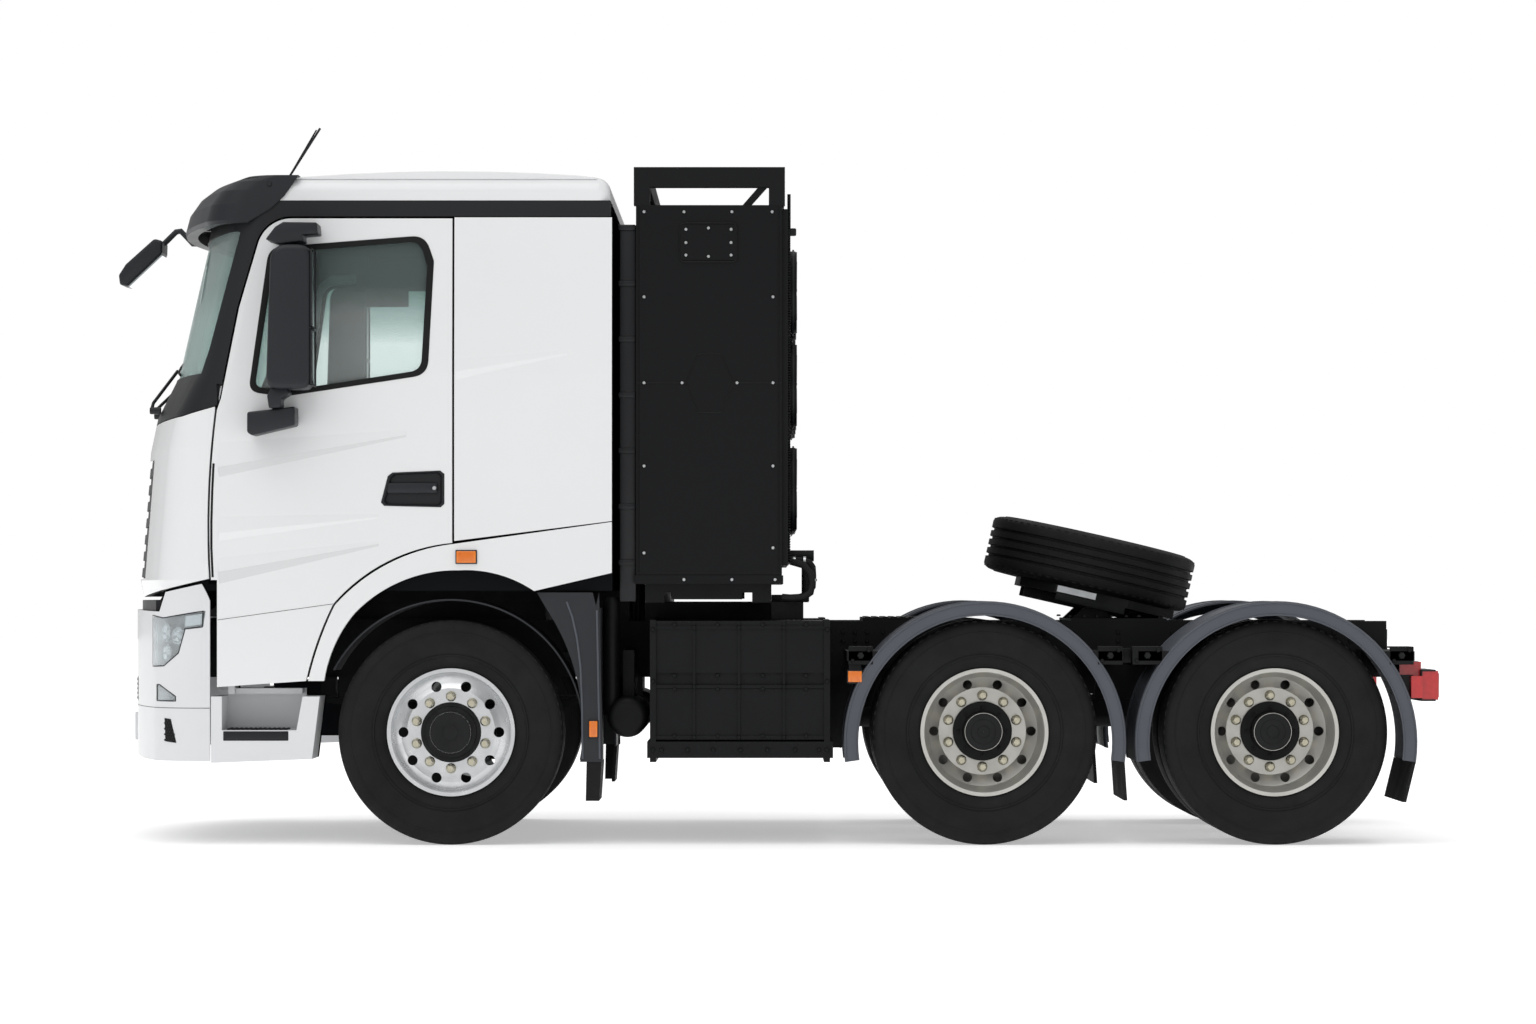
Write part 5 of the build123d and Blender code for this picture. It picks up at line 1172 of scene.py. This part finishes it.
# ---- battery cabinet and its cooling --------------------------------------------------------
# outlines seen from the side: x, z and corner radius
HATCH = ((1064, 2711, 24), (1064, 2892, 24), (1330, 2892, 24), (1330, 2711, 24))
SERVICE_PLATE = ((1092, 2148, 12), (1148, 2283, 12), (1256, 2283, 12), (1312, 2148, 12), (1256, 2010, 12),
                 (1148, 2010, 12))
# seams of the cabinet's side, from (x, z) to (x, z)
CABINET_SEAMS = (((862, 2148), (1092, 2148)), ((1312, 2148), (1536, 2148)), ((862, 1262), (1536, 1262)),
                 ((872, 1262), (872, 2968)), ((1524, 1262), (1524, 2968)))
CABINET_SCREWS = ((897, 2944), (1083, 2944), (1306, 2944), (1493, 2944), (897, 2548), (1497, 2548),
                  (897, 2148), (1074, 2148), (1330, 2148), (1497, 2148), (897, 1761), (1497, 1761),
                  (897, 1356), (1497, 1380))
# along the cabinet's foot and round the hatch, where the sheet stands proud
PROUD_SCREWS = ((1083, 1232), (1306, 1232), (1507, 1232), (1092, 2862), (1197, 2868), (1302, 2862),
                (1092, 2800), (1302, 2800), (1092, 2742), (1197, 2736), (1302, 2742))
FAN_Y, FAN_Z = (-810, -270, 270, 810), (1662, 2152, 2591)
GUARD_RINGS = (58, 92, 126, 160, 190)
SPOKE = (20, 192)
COLLARS = (30, 12)          # how far behind the guard each fan's two collars start
PACK_BACK = 1567            # rear face of the cooling unit
TRUNK_Z = (1130, 2888)      # cable trunks up the cabinet's front, and their collars
COLLAR_Z = (1300, 2880, 260)
PIPE_Y = (-1085, 1085)
# from the pack round to the foot of the cabinet, on its left side
HOSES = (((1575, -1010, 1325), (1600, -1010, 1322), (1640, -1010, 1320), (1668, -1010, 1312),
          (1682, -1010, 1290), (1684, -1010, 1250), (1682, -1010, 1200), (1660, -1010, 1165),
          (1625, -1010, 1150), (1560, -1010, 1146)),
         ((1540, -1080, 1150), (1590, -1085, 1146), (1640, -1085, 1150), (1672, -1080, 1172),
          (1680, -1070, 1215), (1672, -1060, 1262), (1640, -1050, 1300), (1580, -1040, 1318)))
CLAMP = ((17, 0), (20, 0), (20, 11), (17, 11))
CLAMPS = (((1592, -1010, 1321), "X"), ((1640, -1010, 1321), "X"), ((1684, -1010, 1225), "Z"))


class TRACTOR_OT_cabinet(bpy.types.Operator):
    """Make the battery cabinet's screws, seams, hatches and cable trunks"""

    bl_idname = "tractor.cabinet"
    bl_label = "Make the cabinet's fittings"

    def execute(self, context):
        screws, beads, trunks = [], [], []
        for side, _ in SIDES:
            for spots, out in ((CABINET_SCREWS, 3), (PROUD_SCREWS, 9)):
                screws += [((x, side * (TOWER_Y + out), z), (0, side, 0)) for x, z in spots]
            for outline, out in ((SERVICE_PLATE, 1), (HATCH, 7)):
                path = [(x, side * (TOWER_Y + out), z) for x, z in rounded(outline, 4)]
                beads.append(path + [path[0]])
            beads += [[(x, side * (TOWER_Y + 1), z) for x, z in seam] for seam in CABINET_SEAMS]
            trunks.append(((782, 858), beside(side, 985, 1120), TRUNK_Z))
            trunks += [((776, 858), beside(side, 978, 1127), (z, z + 26)) for z in range(*COLLAR_Z)]
        fasteners("cabinet_screws", screws, "chassis", 8.5, 6, 16, "stainless_steel")
        strips("cabinet_seams", beads, "chassis", 2.6, "powder_coat_black", 6)
        blocks("cable_trunks", trunks, "moulded_abs_black", "chassis", 6)
        return {"FINISHED"}


def fan_spot(fan, out, radius, share):
    """Point out from the cooling unit, a share of a turn round a fan (y, z)."""
    y, z = fan
    return PACK_BACK + out, y + radius * math.cos(TURNS * share), z + radius * math.sin(TURNS * share)


class TRACTOR_OT_cooling(bpy.types.Operator):
    """Make the fan guards, radiator fins, coolant hoses, pipes and cables"""

    bl_idname = "tractor.cooling"
    bl_label = "Make the cooling unit's fittings"

    def execute(self, context):
        black = "powder_coat_black"
        rings, spokes, collars = [], [], bmesh.new()
        for fan in [(y, z) for y in FAN_Y for z in FAN_Z]:
            rings += [[fan_spot(fan, 39, radius, k / 40) for k in range(41)] for radius in GUARD_RINGS]
            spokes += [[fan_spot(fan, 41, radius, k / 8) for radius in SPOKE] for k in range(8)]
            for out in COLLARS:
                profile = ((196, out), (203, out), (203, out + 8), (196, out + 8))
                add_lathe(collars, profile, (PACK_BACK - 8, *fan), "X", 48)
        strips("fan_guard_rings", rings, "chassis", 3, black, 6)
        strips("fan_guard_spokes", spokes, "chassis", 3, black, 6)
        fin = ((PACK_BACK - 2, PACK_BACK + 12), (-1112, 1112), (1312, 1316))
        row(boxed("radiator_fins", [fin]), black, "chassis", 137, (0, 0, 12 * MM))
        strips("vent_pipes", [[(1572, y, 2840), (1572, y, 3032)] for y in PIPE_Y], "chassis", 8, black)
        couplings = [((1561, 1606), (y - 22, y + 22), (2838, 2872)) for y in PIPE_Y]
        blocks("pipe_couplings", couplings, "cast_iron_painted", "chassis", 6)
        finished(from_bmesh("fan_collars", collars), "moulded_abs_black", "chassis")
        strips("coolant_hoses", HOSES, "chassis", 17, "vulcanised_rubber", 14)
        # cables from the rails up the face of the cabinet
        lines = [[(x, y, 1012), (x, y, 1120), (x + 8, y * 1.02, 1240), (x, y * 1.05, 1420)]
                 for x in (826, 846) for y in range(-360, 361, 90)]
        strips("cabinet_cables", lines, "chassis", 13, "vulcanised_rubber", 10)
        clamps = bmesh.new()
        for centre, axis in CLAMPS:
            add_lathe(clamps, CLAMP, centre, axis, 24)
        finished(from_bmesh("hose_clamps", clamps), "stainless_steel", "chassis")
        return {"FINISHED"}


# ---- frame, side boxes and fenders ----------------------------------------------------------
RAIL_BOLT_X = (1768, 1835, 1893, 1951, 2028, 2140, 2220, 2700, 2800, 3160, 3420, 3520, 4200, 4280)
# columns of bolts on a side: their x, their z and how far out they stand
BOLT_GRIDS = ((RAIL_BOLT_X, (982, 940, 812), 434), ((1040, 1240, 1450, 1650), (1022, 786, 724, 506), 1213),
              ((1131, 1339, 1548), (1010, 735, 500), 1219), ((940, 1748), (1000, 760, 442), 1225),
              ((980, 1100, 1220, 1345, 1470, 1600, 1710), (442,), 1225))
BASE_BOLT_X = (2930, 3000, 3060, 3130, 3200, 3260)
FENDER_ARMS = ((1846, 1961), (3002, 3118), (3162, 3302), (4354, 4466))
# first, last and pitch of the studs along and across a step, and of the catwalk's plates
STEP_STUDS = ((-1035, -765, 22), (1015, 1185, 24))
CATWALK_STUDS = ((1945, 2281, 42), (-372, 370, 53))
STUD_LENGTH, STUD_WIDTH = 26, 34
FENDER_Z = 477              # middle of the fenders' arcs
# radius and distance from the middle of the beads along a fender
FENDER_BEADS = ((648, 1251), (592, 1251), (651, 1235), (651, 700))
GUARD_CREASES = (((540, 1130), (566, 1060), (588, 960), (604, 830), (612, 640), (614, 400)),
                 ((680, 1090), (694, 400)))
REAR = 4584                 # rear face of the tail lamps
TAIL_LENS_Y, TAIL_LENS_Z, LENS_GAP = (890, 1212), (684, 798), 4


class TRACTOR_OT_frame_fittings(bpy.types.Operator):
    """Make the frame's bolts, the fenders' brackets, the step treads and the catwalk's studs"""

    bl_idname = "tractor.frame_fittings"
    bl_label = "Make the frame's fittings"

    def execute(self, context):
        black = "moulded_abs_black"
        bolts, big, brackets, treads, studs = [], [], [], [], []
        for side, _ in SIDES:
            out = (0, side, 0)
            for columns, rows, y in BOLT_GRIDS:
                bolts += [((x, side * y, z), out) for x in columns for z in rows]
            bolts += [((x, side * 418, 1054), (0, 0, 1)) for x in BASE_BOLT_X]
            for x0, x1 in FENDER_ARMS:
                brackets += [((x0, x1), beside(side, 1252, 1245), (838, 922)),
                             ((x0 + 6, x1 - 6), beside(side, 1246, 1120), (914, 922))]
                big.append((((x0 + x1) / 2, side * 1256, 880), out))
                bolts += [((x0 + 20, side * 1254, 856), out), ((x1 - 20, side * 1254, 904), out)]
            brackets += [((1848, 1906), beside(side, 1247, 1240), (748, 842)),
                         ((3118, 3162), beside(side, 1180, 1170), (846, 914))]
            treads += [((-1052, -748), beside(side, CAB_SIDE_Y - 40, CAB_SIDE_Y - 6), (484, 530)),
                       ((-1046, -760), beside(side, 1000, 1190), (512, 534))]
            studs += [((x, side * y, 535), (0, 0, 1)) for x in range(*STEP_STUDS[0])
                      for y in range(*STEP_STUDS[1])]
        blocks("fender_brackets", brackets, "powder_coat_black", "chassis", 2.5)
        fasteners("frame_bolts", bolts, "chassis", 11, 9, 6, "powder_coat_black")
        fasteners("bracket_bolts", big, "chassis", 17, 12, 6, "cast_iron_painted")
        blocks("step_treads", treads, black, "chassis", 4)
        fasteners("step_studs", studs, "chassis", 7, 5, 8, black)
        plates = [((x, x + STUD_LENGTH), (y, y + STUD_WIDTH), (1050, 1055))
                  for x in range(*CATWALK_STUDS[0]) for y in range(*CATWALK_STUDS[1])]
        blocks("catwalk_studs", plates, "powder_coat_black", "chassis", 1.5, 1)
        return {"FINISHED"}


class TRACTOR_OT_fender_fittings(bpy.types.Operator):
    """Make the fenders' beads, the front guards' creases and the lamps at the rear"""

    bl_idname = "tractor.fender_fittings"
    bl_label = "Make the fenders' fittings"

    def execute(self, context):
        grey = "polypropylene_painted_light"
        turns = [math.radians(-8 + 196 * k / 48) for k in range(49)]
        beads, folds = [], []
        for side, _ in SIDES:
            beads += [[(axle + radius * math.cos(a), side * y, FENDER_Z + radius * math.sin(a))
                       for a in turns] for axle in (AXLE_2, AXLE_3) for radius, y in FENDER_BEADS]
            folds += [[(x, side * 1226, z) for x, z in line] for line in GUARD_CREASES]
        strips("fender_beads", beads, "chassis", 4.5, grey, 8)
        strips("guard_creases", folds, "chassis", 5, grey, 8)
        for side, side_name in SIDES:
            y0, y1 = beside(side, *TAIL_LENS_Y)
            third = (y1 - y0) / 3
            thirds = [(y0 + third * i + LENS_GAP, y0 + third * (i + 1) - LENS_GAP) for i in range(3)]
            lenses = [((REAR - 3, REAR + 6), y, TAIL_LENS_Z) for y in thirds]
            blocks(f"tail_lenses_{side_name}", lenses, "moulded_acrylic_red", "chassis", 4)
            wide = beside(side, 872, 1226)
            housing = (((REAR - 77, REAR - 12), wide, (668, 676)), ((REAR - 77, REAR - 12), wide, (806, 814)),
                       ((REAR - 80, REAR - 74), wide, (668, 814)),
                       ((REAR - 176, REAR - 84), beside(side, 874, 1179), (688, 852)))
            blocks(f"tail_housing_{side_name}", housing, "moulded_abs_black", "chassis", 2)
        return {"FINISHED"}


class TRACTOR_OT_coupling_fittings(bpy.types.Operator):
    """Make the coupling's label plates and ribs"""

    bl_idname = "tractor.coupling_fittings"
    bl_label = "Make the coupling's fittings"

    def execute(self, context):
        labels, ribs = [], []
        for side, _ in SIDES:
            labels.append(((-190, 0), beside(side, 441, 443), (26, 56)))
            ribs += [((-330, 340), beside(side, 150, 168), (-26, 20)),
                     ((-190, 150), beside(side, 425, 440), (-14, 22))]
        for name, boxes, edge, finish in (("blank_label_plates", labels, 0, "anodised_aluminium"),
                                          ("coupling_ribs", ribs, 4, "cast_iron_painted")):
            made = boxed(name, boxes, edge)
            made.data.transform(PLATE_PLACE @ Matrix.Translation(-at(0, 0, 0)))
            finished(made, finish, "coupling")
        return {"FINISHED"}


# ---- inside the cab -------------------------------------------------------------------------
SEAT_Y = 620
APRON_Z = (1128, 1181)      # from below the box of power electronics' top up to the cab's floor
SQUARENESS = 7              # power of a cushion's superellipsoid


def seat_y(side, half):
    """(low, high) pair of Y about the middle of a seat."""
    return side * SEAT_Y - half, side * SEAT_Y + half


def cushion(name, x, y, z, lean=0.0, channels=0):
    """Stuffed cushion with crowned faces, pulled-in sides and sewn channels along its length."""
    bm = bmesh.new()
    bmesh.ops.create_cube(bm, size=2)
    bmesh.ops.subdivide_edges(bm, edges=bm.edges[:], cuts=17, use_grid_fill=True)
    low, high = at(x[0], y[0], z[0]), at(x[1], y[1], z[1])
    middle, half = (low + high) / 2, (high - low) / 2
    thin = min(range(3), key=lambda i: half[i])
    across = [i for i in range(3) if i != thin]
    for vert in bm.verts:
        size = sum(abs(part) ** SQUARENESS for part in vert.co) ** (1 / SQUARENESS)
        spot = [part / size for part in vert.co]
        u, v, _ = spot
        pull = 1 - 0.035 * (1 - v * v) * (abs(u) > 0.6) - 0.035 * (1 - u * u) * (abs(v) > 0.6)
        crown = (1 - spot[across[0]] ** 2) * (1 - spot[across[1]] ** 2)
        spot[thin] *= 0.84 + 0.16 * crown
        for channel in range(channels):
            line = -0.5 + channel / max(1, channels - 1)
            spot[thin] *= 1 - 0.09 * math.exp(-((v - line) / 0.05) ** 2)
        vert.co = (spot[0] * pull * half.x, spot[1] * pull * half.y, spot[2] * half.z)
    turn = Matrix.Translation(middle) @ Matrix.Rotation(math.radians(lean), 4, "Y")
    bmesh.ops.transform(bm, matrix=turn, verts=bm.verts)
    made = from_bmesh(name, bm)
    smooth = made.modifiers.new("round", "SUBSURF")
    smooth.levels = smooth.render_levels = 1
    finished(applied(made), "woven_polyester_charcoal", "cab")
    return made


class TRACTOR_OT_cab_inside(bpy.types.Operator):
    """Make the seats, the bunk, the blinds and the aprons under the floor"""

    bl_idname = "tractor.cab_inside"
    bl_label = "Make the cab's inside"

    def execute(self, context):
        bases, blinds, aprons = [], [], []
        for side, side_name in SIDES:
            seat = cushion(f"seat_cushion_{side_name}", (-560, -50), seat_y(side, 248), (1628, 1760),
                           channels=2)
            if side == LEFT:
                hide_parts("seats")
            cushion(f"seat_back_{side_name}", (-54, 74), seat_y(side, 245), (1700, 2370), lean=10, channels=2)
            cushion(f"head_rest_{side_name}", (60, 146), seat_y(side, 145), (2375, 2570), lean=10)
            bases += [((-480, -100), seat_y(side, 175), (1241, 1300)),
                      ((-430, -150), seat_y(side, 120), (1300, 1560)),
                      ((-520, -70), seat_y(side, 215), (1560, 1632))]
            blinds += [((-660, -30), beside(side, 1150, 1156), (2731, 2880)),
                       ((-606, -386), beside(side, 1146, 1156), (2650, 2745))]
            # outside the box of power electronics, and outside the posts under the cab's rear
            aprons += [((-1000, 592), beside(side, 396, 401), APRON_Z),
                       ((584, 798), beside(side, 476, 481), APRON_Z)]
        bunk = ((300, 665), (-1055, 1055), (1241, 1650))
        blocks("seat_bases", [*bases, bunk], "soft_touch_polyurethane", "cab", 12, 3)
        blocks("side_blinds", blinds, "woven_polyester_charcoal", "cab", 2.5)
        cushion("bunk_mattress", (262, 676), (-1095, 1095), (1652, 1785))
        blocks("floor_aprons", aprons, "vulcanised_rubber", "cab")
        return {"FINISHED"}


# ---- stage ----------------------------------------------------------------------------------
ROOM_LIGHT = 0.44
# glow painted into the floor as painted light, which lifts the shadows on it and lights the truck from below
FLOOR_PAINTED_GLOW = 0.42
WHITE = (1, 1, 1, 1)
# name, direction of the light, strength, spread in degrees: big diffusers far overhead
SKY_LIGHTS = (("key_light", (0.35, 0.75, -1.0), 0.8, 60), ("top_light", (0, -0.1, -1), 0.88, 90))
CAMERA_PLACE = (0.102, -21.72, 1.17)
CAMERA_LENS, CAMERA_SENSOR, CAMERA_RISE = 103.55, 36, 0.0527


class TRACTOR_OT_stage(bpy.types.Operator):
    """Lay the pale floor, hang the soft lights and set the camera"""

    bl_idname = "tractor.stage"
    bl_label = "Set the stage"

    def execute(self, context):
        bm = bmesh.new()
        bmesh.ops.create_grid(bm, x_segments=1, y_segments=1, size=90)
        floor = from_bmesh("pale_floor", bm, outward=False)
        floor.data.transform(Matrix.Translation((0, 0, -MM)))
        material = surface("painted_studio_floor", "#FBFBFB", "#F6F6F6", 0.75, 0.05, 3000, 20, 0.01)
        shader = material.node_tree.nodes["Principled BSDF"]
        # painted light: the floor glows
        shader.inputs["Emission Color"].default_value = WHITE
        shader.inputs["Emission Strength"].default_value = FLOOR_PAINTED_GLOW
        floor.data.materials.append(material)
        scene = context.scene
        scene.world = bpy.data.worlds.new("studio")
        scene.world.use_nodes = True
        tree = scene.world.node_tree
        seen = add_node(tree, "ShaderNodeLightPath").outputs["Is Camera Ray"]
        strength = add_node(tree, "ShaderNodeMapRange", {"Value": seen, "To Min": ROOM_LIGHT,
                                                         "To Max": 1.0}).outputs[0]
        tree.nodes["Background"].inputs["Color"].default_value = WHITE
        tree.links.new(strength, tree.nodes["Background"].inputs["Strength"])
        scene.view_settings.view_transform = "Standard"
        for name, direction, power, spread in SKY_LIGHTS:
            lamp = bpy.data.lights.new(name, "SUN")
            lamp.energy, lamp.angle = power, math.radians(spread)
            as_object(name, lamp).rotation_euler = Vector(direction).to_track_quat("-Z", "Y").to_euler()
        lens = bpy.data.cameras.new("camera")
        lens.lens, lens.sensor_width, lens.shift_y = CAMERA_LENS, CAMERA_SENSOR, CAMERA_RISE
        lens.clip_end = 300
        scene.camera = as_object("camera", lens)
        scene.camera.location = CAMERA_PLACE
        scene.camera.rotation_euler = (math.radians(90), 0, 0)
        return {"FINISHED"}


# ---- panel and run --------------------------------------------------------------------------
class TRACTOR_PT_panel(bpy.types.Panel):
    """Sizes, colours and the steps that build the truck"""

    bl_label = "Electric semi tractor"
    bl_idname = "TRACTOR_PT_panel"
    bl_space_type = "VIEW_3D"
    bl_region_type = "UI"
    bl_category = "Tractor"

    def draw(self, context):
        settings = context.scene.tractor
        for group in (settings.colours, settings.sizes):
            for name in group.__annotations__:
                self.layout.prop(group, name)
        for operator in OPERATORS:
            self.layout.operator(operator.bl_idname)


OPERATORS = (TRACTOR_OT_finishes, TRACTOR_OT_tyres, TRACTOR_OT_wheels, TRACTOR_OT_door_fittings,
             TRACTOR_OT_side_markers, TRACTOR_OT_front_lamps, TRACTOR_OT_body_lines, TRACTOR_OT_wipers,
             TRACTOR_OT_grille, TRACTOR_OT_cabinet, TRACTOR_OT_cooling, TRACTOR_OT_frame_fittings,
             TRACTOR_OT_fender_fittings, TRACTOR_OT_coupling_fittings, TRACTOR_OT_cab_inside,
             TRACTOR_OT_stage)
CLASSES = (TractorColours, TractorSizes, TractorSettings, *OPERATORS, TRACTOR_PT_panel)


def register():
    for each in CLASSES:
        bpy.utils.register_class(each)
    bpy.types.Scene.tractor = bpy.props.PointerProperty(type=TractorSettings)


def unregister():
    del bpy.types.Scene.tractor
    for each in reversed(CLASSES):
        bpy.utils.unregister_class(each)


def main():
    register()
    for operator in OPERATORS:
        group, name = operator.bl_idname.split(".")
        getattr(getattr(bpy.ops, group), name)()


if __name__ == "__main__":
    main()
